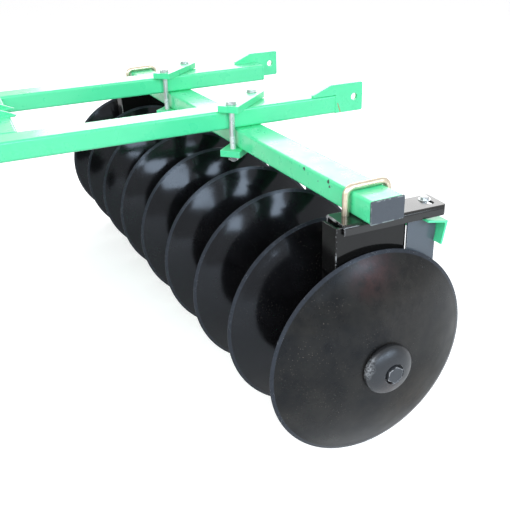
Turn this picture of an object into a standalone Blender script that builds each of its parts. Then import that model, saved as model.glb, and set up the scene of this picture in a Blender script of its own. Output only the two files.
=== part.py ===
"""Mounted offset disc harrow: two gangs of dished discs under a pair of tube rails, with a three-point hitch.

Metres, +Z up, +Y the way it travels, +X its right. The discs stand on z = 0 and the origin is under the
middle of the whole machine. Each gang is modelled in a frame of its own: x along its axle, y forwards, z up
from the axle. A gang that faces the other way is the same set of pieces mirrored in x.
"""

import math

import bmesh
import bpy
from mathutils import Matrix, Vector

# Shared clearances and facet counts
GAP = 0.0003
PLAY = 0.0008
WELD = 0.00003
OVERRUN = 0.002
DISC_SIDES = 24
AXLE_SIDES = 10
ROUND_SIDES = 16
CORNER_STEPS = 2

# Discs
DISC_DIAMETER = 0.510
DISC_THICKNESS = 0.0045
DISC_DISH = 0.065
DISC_FLAT_DIAMETER = 0.112
DISC_HOLE_DIAMETER = 0.034
DISC_BEVEL_WIDTH = 0.008
DISC_EDGE_THICKNESS = 0.0016
NOTCH_COUNT = 10
NOTCH_RADIUS = 0.036
NOTCH_DEPTH = 0.030
NOTCH_SIDES = 8

# Gangs
DISCS_PER_GANG = 9
DISC_SPACING = 0.215
GANG_ANGLE = math.radians(3.3)
GANG_SEPARATION = 1.10
GANG_SIDE_SHIFT = 0.065

# Axles, spools and end bells
SHAFT_DIAMETER = 0.031
JOURNAL_DIAMETER = 0.042
SPOOL_FLANGE_DIAMETER = 0.104
SPOOL_FLANGE_THICKNESS = 0.010
SPOOL_WAIST_DIAMETER = 0.058
SPOOL_CONE_LENGTH = 0.030
BELL_DIAMETER = 0.120
BELL_HEIGHT = 0.031
BELL_EDGE_HEIGHT = 0.009
BELL_RECESS_DIAMETER = 0.050
BELL_RECESS_DEPTH = 0.009
BELL_STEPS = 4
AXLE_HEAD_WIDTH = 0.036
AXLE_HEAD_HEIGHT = 0.013
AXLE_HEAD_TURN = math.radians(36)
AXLE_NUT_WIDTH = 0.046
AXLE_NUT_HEIGHT = 0.026
AXLE_TAIL = 0.003
INNER_BELL_DIAMETER = 0.100
INNER_BELL_HEIGHT = 0.018
INNER_BELL_EDGE_HEIGHT = 0.006

# Tubes of the gang beams and of the frame
TUBE_WIDTH = 0.084
TUBE_HEIGHT = 0.052
TUBE_WALL = 0.004
TUBE_CORNER = 0.007
BEAM_CLEARANCE = 0.070
BEAM_SETBACK = 0.019
BEAM_OVERHANG = 0.061
CAP_THICKNESS = 0.004
CAP_PLUG_LENGTH = 0.014
CAP_CORNER = 0.005

# Frame
RAIL_SPACING = 0.520
RAIL_TAIL = 0.303
RAIL_NOSE = 0.300
MIDDLE_TUBE_AHEAD = 0.060
LUG_THICKNESS = 0.012
LUG_REACH = 0.088
LUG_RISE = 0.030
LUG_FOOT = 0.072
LUG_CORNER = 0.006
LUG_HOLE_DIAMETER = 0.020
LUG_HOLE_HEIGHT = 0.041
LUG_HOLE_SETBACK = 0.027
END_PLATE_THICKNESS = 0.006

# Clamps that hold the beams under the rails
CLAMP_WIDTH = 0.060
CLAMP_THICKNESS = 0.018
CLAMP_END = 0.024
CLAMP_CORNER = 0.004
CLAMP_BOLT_DIAMETER = 0.016
CLAMP_BOLT_CLEARANCE = 0.002
CLAMP_BOLT_END = 0.012
BOLT_HEAD_WIDTH = 0.024
BOLT_HEAD_HEIGHT = 0.010
NUT_HEIGHT = 0.013

# Gang hangers and their bearings
HANGER_DEPTH = 0.080
HANGER_RIM_CLEARANCE = 0.006
HANGER_WEB_FRONT = 0.084
HANGER_WEB_REAR = 0.089
HANGER_WEB_THICKNESS = 0.008
HANGER_WEB_INSET = 0.008
HANGER_FLANGE_REACH = 0.054
HANGER_FLANGE_THICKNESS = 0.006
HANGER_FLANGE_LENGTH = 0.150
BEARING_DIAMETER = 0.112
ARM_FRONT = 0.066
ARM_REAR = 0.183
ARM_DEPTH = 0.022
ARM_THICKNESS = 0.006
ARM_CORNER = 0.008
ARM_SLOT_LENGTH = 0.040
ARM_SLOT_WIDTH = 0.018
ARM_SLOT_SETBACK = 0.020

# U-bolts
UBOLT_DIAMETER = 0.016
UBOLT_CLEARANCE = 0.003
UBOLT_CORNER = 0.018
UBOLT_SHIFT = 0.011
UBOLT_TAIL = 0.012
UBOLT_ARC_STEPS = 4

# Scrapers
ANGLE_LEG = 0.055
ANGLE_THICKNESS = 0.005
ANGLE_TILT = math.radians(12)
ANGLE_END = 0.016
ANGLE_REAR = 0.184
BLADE_WIDTH = 0.077
BLADE_REAR = 0.171
BLADE_THICKNESS = 0.005
BLADE_RIM_CLEARANCE = 0.008
BLADE_STRAIGHT = 0.160
BLADE_TIP = 0.060
BLADE_BEND = math.radians(24)
BLADE_SINK = 0.003

# Headstock
HEADSTOCK_WIDTH = 0.700
LOWER_LUG_THICKNESS = 0.012
LOWER_LUG_REACH = 0.075
LOWER_LUG_DROP = 0.058
LOWER_LUG_RADIUS = 0.040
LOWER_LUG_ARC = (math.radians(-126), math.radians(45))
LOWER_PIN_DIAMETER = 0.028
PIN_THREAD_SHARE = 0.8
LOWER_PIN_LENGTH = 0.095
PIN_COLLAR_DIAMETER = 0.052
PIN_COLLAR_THICKNESS = 0.009
PIN_END_CHAMFER = 0.003
PIN_NUT_WIDTH = 0.041
PIN_NUT_HEIGHT = 0.020
MAST_HEIGHT = 0.510
MAST_FOOT_INSET = 0.060
MAST_BAR_WIDTH = 0.070
MAST_BAR_THICKNESS = 0.012
MAST_SLOT_WIDTH = 0.052
MAST_CHEEK_LENGTH = 0.150
MAST_CHEEK_END = 0.034
TOP_PIN_DIAMETER = 0.025
TOP_PIN_HEAD_DIAMETER = 0.040
TOP_PIN_HEAD_THICKNESS = 0.008
TOP_PIN_TAIL = 0.030
BRACE_WIDTH = 0.050
BRACE_THICKNESS = 0.010
BRACE_DROP = 0.062

# Heights and lengths that follow from the sizes above
DISC_RADIUS = DISC_DIAMETER / 2
AXLE_HEIGHT = DISC_RADIUS
BOWL_RADIUS = (DISC_RADIUS**2 - (DISC_FLAT_DIAMETER / 2) ** 2 + DISC_DISH**2) / (2 * DISC_DISH)
BEAM_BOTTOM = DISC_RADIUS + BEAM_CLEARANCE
BEAM_TOP = BEAM_BOTTOM + TUBE_HEIGHT
RAIL_BOTTOM = AXLE_HEIGHT + BEAM_TOP + GAP
RAIL_TOP = RAIL_BOTTOM + TUBE_HEIGHT
HALF_GANG = DISC_SPACING * (DISCS_PER_GANG - 1) / 2
RAIL_REAR_END = -GANG_SEPARATION / 2 - RAIL_TAIL
RAIL_FRONT_END = GANG_SEPARATION / 2 + RAIL_NOSE
HEADSTOCK_Y = RAIL_FRONT_END + GAP + TUBE_WIDTH / 2
MAST_TOP = RAIL_BOTTOM + TUBE_HEIGHT / 2 - LOWER_LUG_DROP + MAST_HEIGHT
REAR_REACH = RAIL_REAR_END - GAP - LUG_REACH
FRONT_REACH = HEADSTOCK_Y + LOWER_LUG_REACH + LOWER_LUG_RADIUS
LENGTH_CENTRE = (REAR_REACH + FRONT_REACH) / 2

FRONT = {"name": "front", "facing": -1, "notched": True}
REAR = {"name": "rear", "facing": 1, "notched": False}

# Base colour, metallic, roughness
MATERIALS = {
    "green_paint": ((0.05, 0.62, 0.32), 0.0, 0.35),
    "disc_black": ((0.020, 0.020, 0.022), 0.0, 0.25),
    "hanger_black": ((0.035, 0.035, 0.036), 0.0, 0.40),
    "cast_black": ((0.045, 0.045, 0.048), 0.0, 0.50),
    "cap_plastic": ((0.09, 0.09, 0.10), 0.0, 0.55),
    "zinc": ((0.62, 0.64, 0.65), 1.0, 0.35),
    "yellow_zinc": ((0.70, 0.58, 0.34), 1.0, 0.35),
}


def clear_scene():
    for obj in list(bpy.data.objects):
        bpy.data.objects.remove(obj)


def collection(name):
    made = bpy.data.collections.new(name)
    bpy.context.scene.collection.children.link(made)
    return made


def material(name):
    if name in bpy.data.materials:
        return bpy.data.materials[name]
    colour, metallic, roughness = MATERIALS[name]
    made = bpy.data.materials.new(name)
    made.use_nodes = True
    shader = made.node_tree.nodes["Principled BSDF"]
    shader.inputs["Base Color"].default_value = (*colour, 1)
    shader.inputs["Metallic"].default_value = metallic
    shader.inputs["Roughness"].default_value = roughness
    return made


def evaluated_mesh(obj):
    """The object's shape with its modifiers, as a mesh with welded caps and faces that point out."""
    bpy.context.view_layer.update()
    graph = bpy.context.evaluated_depsgraph_get()
    mesh = bpy.data.meshes.new_from_object(obj.evaluated_get(graph))
    work = bmesh.new()
    work.from_mesh(mesh)
    bmesh.ops.remove_doubles(work, verts=work.verts, dist=WELD)
    bmesh.ops.dissolve_degenerate(work, edges=work.edges, dist=WELD)
    bmesh.ops.recalc_face_normals(work, faces=work.faces)
    work.to_mesh(mesh)
    work.free()
    return mesh


def solid(name, mesh):
    made = bpy.data.objects.new(name, mesh)
    GUIDES.objects.link(made)
    return made


def baked(obj):
    """Turns a curve or a modified object into a plain mesh object in the same place."""
    mesh = evaluated_mesh(obj)
    made = solid(obj.name, mesh)
    made.matrix_world = obj.matrix_world.copy()
    bpy.data.objects.remove(obj)
    return made


def move_mesh(obj, matrix):
    obj.data.transform(matrix)
    if matrix.determinant() < 0:
        obj.data.flip_normals()
    return obj


def plate(outlines, thickness, axes="xy", centre=(0, 0, 0), corner=None):
    """A flat outline with any holes, thickness through. axes names what the outline's directions follow."""
    curve = bpy.data.curves.new("outline", "CURVE")
    curve.dimensions = "2D"
    curve.fill_mode = "BOTH"
    curve.extrude = thickness / 2
    for outline in outlines:
        spline = curve.splines.new("POLY")
        spline.points.add(len(outline) - 1)
        for point, (u, v) in zip(spline.points, outline):
            point.co = (u, v, 0, 1)
        spline.use_cyclic_u = True
    obj = bpy.data.objects.new("plate", curve)
    GUIDES.objects.link(obj)
    made = baked(obj)
    columns = {"x": Vector((1, 0, 0)), "y": Vector((0, 1, 0)), "z": Vector((0, 0, 1))}
    first, second = columns[axes[0]], columns[axes[1]]
    turn = Matrix((first, second, first.cross(second))).transposed().to_4x4()
    return move_mesh(made, Matrix.Translation(centre) @ turn)


def arc(centre, radius, start, end, steps):
    """Points on an arc, both ends included, angles in radians."""
    angles = [start + (end - start) * step / steps for step in range(steps + 1)]
    return [(centre[0] + radius * math.cos(a), centre[1] + radius * math.sin(a)) for a in angles]


def circle(centre, diameter, sides=ROUND_SIDES):
    return arc(centre, diameter / 2, 0, 2 * math.pi, sides)[:-1]


def rounded_box(width, height, radius, centre=(0, 0)):
    """A rectangle with rounded corners, as one closed outline."""
    points = []
    for quarter, (side_u, side_v) in enumerate(((1, 1), (-1, 1), (-1, -1), (1, -1))):
        corner = (centre[0] + side_u * (width / 2 - radius), centre[1] + side_v * (height / 2 - radius))
        start = quarter * math.pi / 2
        points += arc(corner, radius, start, start + math.pi / 2, CORNER_STEPS)
    return points


def slot_outline(centre, length, width):
    """A slot along the outline's first direction."""
    reach = (length - width) / 2
    right = arc((centre[0] + reach, centre[1]), width / 2, -math.pi / 2, math.pi / 2, ROUND_SIDES // 4)
    left = arc((centre[0] - reach, centre[1]), width / 2, math.pi / 2, 3 * math.pi / 2, ROUND_SIDES // 4)
    return right + left


def prism(width, height, sides, axis="z", centre=(0, 0, 0), turn=0):
    """A nut, bolt head or square: width across its flats, centred, with its length along the axis."""
    across = width / 2 / math.cos(math.pi / sides)
    outline = arc((0, 0), across, turn, turn + 2 * math.pi, sides)[:-1]
    axes = {"x": "yz", "y": "zx", "z": "xy"}[axis]
    return plate([outline], height, axes, centre)


def turned(profile, sides, turn=0):
    """A profile of (x, radius) points turned about the X axis."""
    mesh = bpy.data.meshes.new("profile")
    closed = profile[0][1] > 0 and profile[-1][1] > 0
    edges = [(i, i + 1) for i in range(len(profile) - 1)]
    if closed:
        edges.append((len(profile) - 1, 0))
    mesh.from_pydata([(x, 0, -radius) for x, radius in profile], edges, [])
    obj = solid("turned", mesh)
    screw = obj.modifiers.new("Screw", "SCREW")
    screw.axis = "X"
    screw.steps = screw.render_steps = sides
    screw.use_merge_vertices = True
    screw.merge_threshold = WELD
    made = baked(obj)
    return move_mesh(made, Matrix.Rotation(turn, 4, "X"))


def tube(length, centre=(0, 0, 0), axis="x"):
    """A rectangular tube, open at both ends, its wide side flat."""
    bore_corner = TUBE_CORNER - TUBE_WALL
    outer = rounded_box(TUBE_WIDTH, TUBE_HEIGHT, TUBE_CORNER)
    bore = rounded_box(TUBE_WIDTH - 2 * TUBE_WALL, TUBE_HEIGHT - 2 * TUBE_WALL, bore_corner)
    if axis == "x":
        return plate([outer, bore], length, "yz", centre)
    made = plate([outer, bore], length, "xz", (0, 0, 0))
    return move_mesh(made, Matrix.Translation(centre))


def join(pieces, operation="UNION"):
    """Fuses the pieces into the first one, or cuts the others out of it."""
    first, others = pieces[0], pieces[1:]
    for other in others:
        modifier = first.modifiers.new(operation.title(), "BOOLEAN")
        modifier.operation = operation
        modifier.object = other
    made = baked(first)
    for other in others:
        bpy.data.objects.remove(other)
    return made


def finish(obj, name, slot, parent, location=(0, 0, 0), smooth=True):
    """Names a piece, gives it its material, and hangs it on its empty."""
    obj.name = name
    obj.data.name = name
    obj.data.materials.clear()
    obj.data.materials.append(material(slot))
    if smooth:
        obj.data.shade_smooth()
        obj.data.set_sharp_from_angle(angle=math.radians(32))
    GUIDES.objects.unlink(obj)
    PARTS.objects.link(obj)
    obj.parent = parent
    obj.location = location
    return obj


def empty(name, location, turn=0, parent=None):
    made = bpy.data.objects.new(name, None)
    PARTS.objects.link(made)
    made.location = location
    made.rotation_euler = (0, 0, turn)
    made.parent = parent
    return made


def mirrored(obj, facing):
    """The piece as modelled, or mirrored in x for a gang that faces the other way."""
    return move_mesh(obj, Matrix.Scale(facing, 4, (1, 0, 0))) if facing < 0 else obj


def disc_x(index):
    """Place of a disc's rim plane along its gang."""
    return index * DISC_SPACING - HALF_GANG


def hub_x(index):
    """Place of the convex side of a disc's flat centre."""
    return disc_x(index) - DISC_DISH


def hanger_x():
    """Centres of the two hangers, each just behind the rim of the disc beside it."""
    beside = (0, DISCS_PER_GANG - 2)
    return [disc_x(index) + HANGER_RIM_CLEARANCE + HANGER_DEPTH / 2 for index in beside]


def bowl_x(radius):
    """How far the bowl's surface stands from the flat centre, towards the rim, at this radius."""
    flat = DISC_FLAT_DIAMETER / 2
    return BOWL_RADIUS - math.sqrt(BOWL_RADIUS**2 - max(radius**2 - flat**2, 0))


def disc_profile():
    """Closed (x, radius) profile of a disc, rim plane at x = 0, concave side towards +x."""
    rim = DISC_RADIUS / math.cos(math.pi / DISC_SIDES)
    flat, hole = DISC_FLAT_DIAMETER / 2, DISC_HOLE_DIAMETER / 2
    bevel_start = DISC_RADIUS - DISC_BEVEL_WIDTH
    middle = (flat + bevel_start) / 2
    convex = [(bowl_x(radius) - DISC_DISH, radius) for radius in (hole, flat, middle, bevel_start)]
    concave = [(bowl_x(radius) - DISC_DISH + DISC_THICKNESS, radius) for radius in (middle, flat, hole)]
    edge = [(-DISC_EDGE_THICKNESS, rim), (0, rim)]
    return convex + edge + concave


def disc(notched):
    made = turned(disc_profile(), DISC_SIDES, math.pi / DISC_SIDES)
    if not notched:
        return made
    cutters = []
    reach = DISC_RADIUS - NOTCH_DEPTH + NOTCH_RADIUS
    for index in range(NOTCH_COUNT):
        angle = -math.pi / 2 + (index + 0.5) * 2 * math.pi / NOTCH_COUNT
        centre = (reach * math.cos(angle), reach * math.sin(angle))
        outline = circle(centre, 2 * NOTCH_RADIUS, NOTCH_SIDES)
        cutters.append(plate([outline], 2 * DISC_DISH + 2 * OVERRUN, "yz"))
    return join([made, *cutters], "DIFFERENCE")


def axle():
    """A gang's shaft with its spools, journals, forged head and end nut, as one piece."""
    shaft, journal = SHAFT_DIAMETER / 2, JOURNAL_DIAMETER / 2
    flange, waist = SPOOL_FLANGE_DIAMETER / 2, SPOOL_WAIST_DIAMETER / 2
    head_x = hub_x(0) - GAP - BELL_HEIGHT + BELL_RECESS_DEPTH
    last = DISCS_PER_GANG - 1
    nut_x = hub_x(last) + DISC_THICKNESS + 2 * GAP + INNER_BELL_HEIGHT
    profile = [(head_x - AXLE_HEAD_HEIGHT / 2, 0), (head_x - AXLE_HEAD_HEIGHT / 2, shaft)]
    for index in range(last):
        start = hub_x(index) + DISC_THICKNESS + GAP
        end = hub_x(index + 1) - GAP
        in_bearing = index in (0, last - 1)
        middle = journal if in_bearing else waist
        profile += [
            (start, shaft),
            (start, flange),
            (start + SPOOL_FLANGE_THICKNESS, flange),
            (start + SPOOL_FLANGE_THICKNESS + SPOOL_CONE_LENGTH, middle),
            (end - SPOOL_FLANGE_THICKNESS - SPOOL_CONE_LENGTH, middle),
            (end - SPOOL_FLANGE_THICKNESS, flange),
            (end, flange),
            (end, shaft),
        ]
    tail = nut_x + AXLE_NUT_HEIGHT + AXLE_TAIL
    profile += [(tail, shaft), (tail, 0)]
    made = turned(profile, AXLE_SIDES)
    head_centre = (head_x - AXLE_HEAD_HEIGHT / 2 - GAP, 0, 0)
    head = prism(AXLE_HEAD_WIDTH, AXLE_HEAD_HEIGHT, 6, "x", head_centre, AXLE_HEAD_TURN)
    nut = prism(AXLE_NUT_WIDTH, AXLE_NUT_HEIGHT, 6, "x", (nut_x + GAP + AXLE_NUT_HEIGHT / 2, 0, 0))
    return join([made, head, nut])


def end_bell():
    """The domed washer on the convex end, with the recess that the axle's forged head sits in."""
    outer, recess = BELL_DIAMETER / 2, BELL_RECESS_DIAMETER / 2
    hole = DISC_HOLE_DIAMETER / 2
    flat = DISC_FLAT_DIAMETER / 2
    rise = BELL_HEIGHT - BELL_EDGE_HEIGHT
    crown = math.acos(recess / outer)
    dome = arc((0, 0), 1, 0, crown, BELL_STEPS)
    profile = [(0, hole), (0, flat), (bowl_x(outer) - bowl_x(flat) - GAP, outer)]
    profile += [(-BELL_EDGE_HEIGHT - rise * v / math.sin(crown), outer * u) for u, v in dome]
    profile += [(-BELL_HEIGHT + BELL_RECESS_DEPTH, recess), (-BELL_HEIGHT + BELL_RECESS_DEPTH, hole)]
    return turned(profile, DISC_SIDES)


def inner_bell():
    """The washer on the concave end, under the axle's nut."""
    outer, hole = INNER_BELL_DIAMETER / 2, DISC_HOLE_DIAMETER / 2
    nut = AXLE_NUT_WIDTH / 2 / math.cos(math.pi / 6) + CAP_CORNER
    profile = [(0, hole), (INNER_BELL_HEIGHT, hole), (INNER_BELL_HEIGHT, nut)]
    profile += [(INNER_BELL_EDGE_HEIGHT, outer), (0, outer)]
    return turned(profile, ROUND_SIDES)


def hanger_arm(top):
    """The hanger's channel arm, open below. It is turned on its front end so that it runs along the rails."""
    half = HANGER_DEPTH / 2
    corner = ARM_CORNER
    outline = [(-half, ARM_FRONT), (-half, -ARM_REAR + corner), (-half + corner, -ARM_REAR)]
    outline += [(half - corner, -ARM_REAR), (half, -ARM_REAR + corner), (half, ARM_FRONT)]
    turn = Matrix.Rotation(-GANG_ANGLE, 4, "Z")
    pivot = Matrix.Translation((0, ARM_FRONT, 0))
    place = pivot @ turn @ pivot.inverted()
    holes = []
    for y in ubolt_legs():
        leg = place.inverted() @ Vector((UBOLT_SHIFT, y, 0))
        holes.append(circle((leg.x, leg.y), UBOLT_DIAMETER + 2 * PLAY, ROUND_SIDES // 2))
    holes.append(slot_outline((0, -ARM_REAR + ARM_SLOT_SETBACK), ARM_SLOT_LENGTH, ARM_SLOT_WIDTH))
    pieces = [plate([outline, *holes], ARM_THICKNESS, "xy", (0, 0, top - ARM_THICKNESS / 2))]
    low = top - ARM_DEPTH
    side = [(ARM_FRONT, top), (-ARM_REAR + corner, top), (-ARM_REAR + corner, low), (ARM_FRONT, low)]
    for x in (-half + ARM_THICKNESS / 2, half - ARM_THICKNESS / 2):
        pieces.append(plate([side], ARM_THICKNESS, "yz", (x, 0, 0)))
    return move_mesh(join(pieces), place)


def hanger():
    """Pressed channel that carries the bearing under its arm. Its centre is x = 0."""
    near = -HANGER_DEPTH / 2 + HANGER_WEB_INSET
    far = near + HANGER_FLANGE_REACH
    top = BEAM_BOTTOM - GAP
    under = top - ARM_THICKNESS
    boss = BEARING_DIAMETER / 2
    shoulder = top - HANGER_FLANGE_LENGTH
    side = ARM_THICKNESS

    front, rear = HANGER_WEB_FRONT, -HANGER_WEB_REAR
    web_outline = [(front, under + side / 2), (rear, under + side / 2), (rear, shoulder)]
    web_outline += arc((0, 0), boss, math.pi, 2 * math.pi, ROUND_SIDES // 2)
    web_outline += [(front, shoulder)]
    bore = circle((0, 0), (BEARING_DIAMETER + JOURNAL_DIAMETER) / 2)
    web_centre = (near + HANGER_WEB_THICKNESS / 2, 0, 0)
    web = plate([web_outline, bore], HANGER_WEB_THICKNESS, "yz", web_centre)

    flanges = []
    half = HANGER_FLANGE_THICKNESS / 2
    below_nuts = under - NUT_HEIGHT - UBOLT_TAIL - PLAY
    for y, high in ((front - half, under - GAP), (rear + half, below_nuts)):
        outline = [(near + side / 2, shoulder), (far, shoulder + (far - near) / 2)]
        outline += [(far, high), (near + side / 2, high)]
        flanges.append(plate([outline], HANGER_FLANGE_THICKNESS, "xz", (0, y, 0)))

    clear = (JOURNAL_DIAMETER / 2 + GAP) / math.cos(math.pi / ROUND_SIDES)
    near_end, far_end = near + GAP, far
    profile = [(near_end, clear), (near_end, boss - side / 2), (far_end, boss - side), (far_end, clear)]
    housing = turned(profile, ROUND_SIDES)
    return join([web, hanger_arm(top), *flanges, housing])


def ubolt_legs():
    """Places of a U-bolt's two legs along y, ahead of the beam and behind it."""
    reach = TUBE_WIDTH / 2 + UBOLT_CLEARANCE + UBOLT_DIAMETER / 2
    return (-BEAM_SETBACK + reach, -BEAM_SETBACK - reach)


def ubolt():
    """A round bar bent over the beam, with its two nuts under the hanger's arm."""
    front, rear = ubolt_legs()
    crest = BEAM_TOP + GAP + UBOLT_DIAMETER / 2
    foot = BEAM_BOTTOM - GAP - ARM_THICKNESS - GAP - NUT_HEIGHT - UBOLT_TAIL
    bend = UBOLT_CORNER
    path = [(front, foot), *arc((front - bend, crest - bend), bend, 0, math.pi / 2, UBOLT_ARC_STEPS)]
    path += [*arc((rear + bend, crest - bend), bend, math.pi / 2, math.pi, UBOLT_ARC_STEPS), (rear, foot)]
    curve = bpy.data.curves.new("ubolt", "CURVE")
    curve.dimensions = "3D"
    curve.bevel_depth = UBOLT_DIAMETER / 2
    curve.bevel_resolution = 2
    curve.use_fill_caps = True
    spline = curve.splines.new("POLY")
    spline.points.add(len(path) - 1)
    for point, (y, z) in zip(spline.points, path):
        point.co = (0, y, z, 1)
    bar = bpy.data.objects.new("ubolt", curve)
    GUIDES.objects.link(bar)
    nut_z = BEAM_BOTTOM - GAP - ARM_THICKNESS - GAP - NUT_HEIGHT / 2
    nuts = [prism(BOLT_HEAD_WIDTH, NUT_HEIGHT, 6, "z", (0, y, nut_z)) for y in (front, rear)]
    return join([baked(bar), *nuts])


def scraper_bar():
    """Angle iron under the hangers' arms with one bent blade for each disc, reaching into its bowl."""
    top = BEAM_BOTTOM - GAP - ARM_DEPTH - GAP
    leg, thick = ANGLE_LEG, ANGLE_THICKNESS
    section = [(0, 0), (leg, 0), (leg, -thick), (thick, -thick), (thick, -leg), (0, -leg)]
    cos, sin = math.cos(ANGLE_TILT), math.sin(ANGLE_TILT)
    drop = leg * sin
    outline = [(-ANGLE_REAR + u * cos - v * sin, top - drop + u * sin + v * cos) for u, v in section]
    length = 2 * HALF_GANG + 2 * ANGLE_END
    pieces = [plate([outline], length, "yz")]
    front, rear = -BLADE_REAR + BLADE_WIDTH, -BLADE_REAR
    seat = top - drop - thick / cos + BLADE_SINK
    lip = -ANGLE_REAR + leg * cos
    low_end, high_end = seat + (rear + ANGLE_REAR) * math.tan(ANGLE_TILT), seat + drop
    low = low_end - BLADE_STRAIGHT
    reach, fall = BLADE_TIP * math.sin(BLADE_BEND), BLADE_TIP * math.cos(BLADE_BEND)
    side = [(front, high_end), (lip, high_end), (rear, low_end), (rear, low), (front, low)]
    for index in range(DISCS_PER_GANG):
        x = disc_x(index) + BLADE_RIM_CLEARANCE
        pieces.append(plate([side], BLADE_THICKNESS, "yz", (x + BLADE_THICKNESS / 2, 0, 0)))
        back = x + BLADE_THICKNESS - GAP
        tip = [(x, low + BLADE_SINK), (x, low), (x - reach, low - fall)]
        tip += [(x - reach + BLADE_THICKNESS, low - fall), (back, low), (back, low + BLADE_SINK)]
        pieces.append(plate([tip], BLADE_WIDTH - 2 * GAP, "xz", (0, (front + rear) / 2, 0)))
    return join(pieces)


def end_cap():
    """A plastic cap in a tube's end: a face plate with a plug behind it, the face towards +x from x = 0."""
    face_outline = rounded_box(TUBE_WIDTH, TUBE_HEIGHT, CAP_CORNER)
    face = plate([face_outline], CAP_THICKNESS, "yz", (GAP + CAP_THICKNESS / 2, 0, 0))
    slack = 2 * TUBE_WALL + 2 * PLAY
    plug_outline = rounded_box(TUBE_WIDTH - slack, TUBE_HEIGHT - slack, TUBE_CORNER - TUBE_WALL)
    plug_length = CAP_PLUG_LENGTH + CAP_THICKNESS / 2
    plug = plate([plug_outline], plug_length, "yz", (CAP_THICKNESS / 2 - plug_length / 2 + GAP, 0, 0))
    return join([face, plug])


def clamp(handed):
    """Two flat bars across a crossing of rail and beam, with their long bolts. Its centre is the crossing."""
    beam_bottom = AXLE_HEIGHT + BEAM_BOTTOM
    reach = TUBE_WIDTH / 2 + CLAMP_BOLT_CLEARANCE + CLAMP_BOLT_DIAMETER / 2
    length = 2 * reach * math.sqrt(2) + 2 * CLAMP_END
    upper_z = RAIL_TOP + GAP + CLAMP_THICKNESS / 2
    lower_z = beam_bottom - GAP - CLAMP_THICKNESS / 2
    pieces = []
    for z in (upper_z, lower_z):
        bar = plate([rounded_box(length, CLAMP_WIDTH, CLAMP_CORNER)], CLAMP_THICKNESS)
        move_mesh(bar, Matrix.Rotation(-handed * math.pi / 4, 4, "Z"))
        pieces.append(move_mesh(bar, Matrix.Translation((0, 0, z))))
    head_z = upper_z + CLAMP_THICKNESS / 2 + BOLT_HEAD_HEIGHT / 2
    nut_z = lower_z - CLAMP_THICKNESS / 2 - NUT_HEIGHT / 2
    foot_z = nut_z - NUT_HEIGHT / 2 - CLAMP_BOLT_END
    for side in (1, -1):
        x, y = -side * reach, side * handed * reach
        shank = circle((x, y), CLAMP_BOLT_DIAMETER, ROUND_SIDES // 2)
        pieces.append(plate([shank], head_z - foot_z, "xy", (0, 0, (head_z + foot_z) / 2)))
        pieces.append(prism(BOLT_HEAD_WIDTH, BOLT_HEAD_HEIGHT + GAP, 6, "z", (x, y, head_z - GAP / 2)))
        pieces.append(prism(BOLT_HEAD_WIDTH, NUT_HEIGHT + GAP, 6, "z", (x, y, nut_z + GAP / 2)))
    return join(pieces)


def rear_lug(side):
    """Plate with a pin hole on the outer side of a rail's rear end, and the plate that closes the tube."""
    end = RAIL_REAR_END - GAP
    outer = side * (RAIL_SPACING / 2 + TUBE_WIDTH / 2 - LUG_THICKNESS / 2)
    low, high = RAIL_BOTTOM, RAIL_TOP + LUG_RISE
    corner = LUG_CORNER
    outline = [(end, low), (end, RAIL_TOP + GAP), (end + LUG_FOOT, RAIL_TOP + GAP)]
    outline += [(end + LUG_FOOT, RAIL_TOP + GAP + LUG_THICKNESS / 2), (end + LUG_RISE / 2, high)]
    outline += [(end - LUG_REACH + corner, high), (end - LUG_REACH, high - corner)]
    outline += [(end - LUG_REACH, low + corner), (end - LUG_REACH + corner, low)]
    hole = circle((end - LUG_REACH + LUG_HOLE_SETBACK, low + LUG_HOLE_HEIGHT), LUG_HOLE_DIAMETER)
    lug = plate([outline, hole], LUG_THICKNESS, "yz", (outer, 0, 0))
    inset = TUBE_WIDTH - 2 * GAP
    cover_outline = rounded_box(inset, TUBE_HEIGHT - 2 * GAP, TUBE_CORNER)
    cover_y, middle = end - END_PLATE_THICKNESS / 2, (RAIL_BOTTOM + RAIL_TOP) / 2
    cover_centre = (side * RAIL_SPACING / 2, cover_y, middle)
    cover = plate([cover_outline], END_PLATE_THICKNESS, "xz", cover_centre)
    return join([lug, cover])


def lower_lug(side):
    """Plate on an end of the headstock tube, drawn forward and down to the lower link pin."""
    x = side * (HEADSTOCK_WIDTH / 2 + GAP + LOWER_LUG_THICKNESS / 2)
    middle = (RAIL_BOTTOM + RAIL_TOP) / 2
    pin = (HEADSTOCK_Y + LOWER_LUG_REACH, middle - LOWER_LUG_DROP)
    half_w, half_h = TUBE_WIDTH / 2, TUBE_HEIGHT / 2
    outline = [(HEADSTOCK_Y + half_w, middle + half_h), (HEADSTOCK_Y - half_w, middle + half_h)]
    outline += [(HEADSTOCK_Y - half_w, middle - half_h)]
    outline += arc(pin, LOWER_LUG_RADIUS, *LOWER_LUG_ARC, ROUND_SIDES // 2)
    hole = circle(pin, LOWER_PIN_DIAMETER * PIN_THREAD_SHARE + 2 * PLAY)
    return plate([outline, hole], LOWER_LUG_THICKNESS, "yz", (x, 0, 0))


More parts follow.
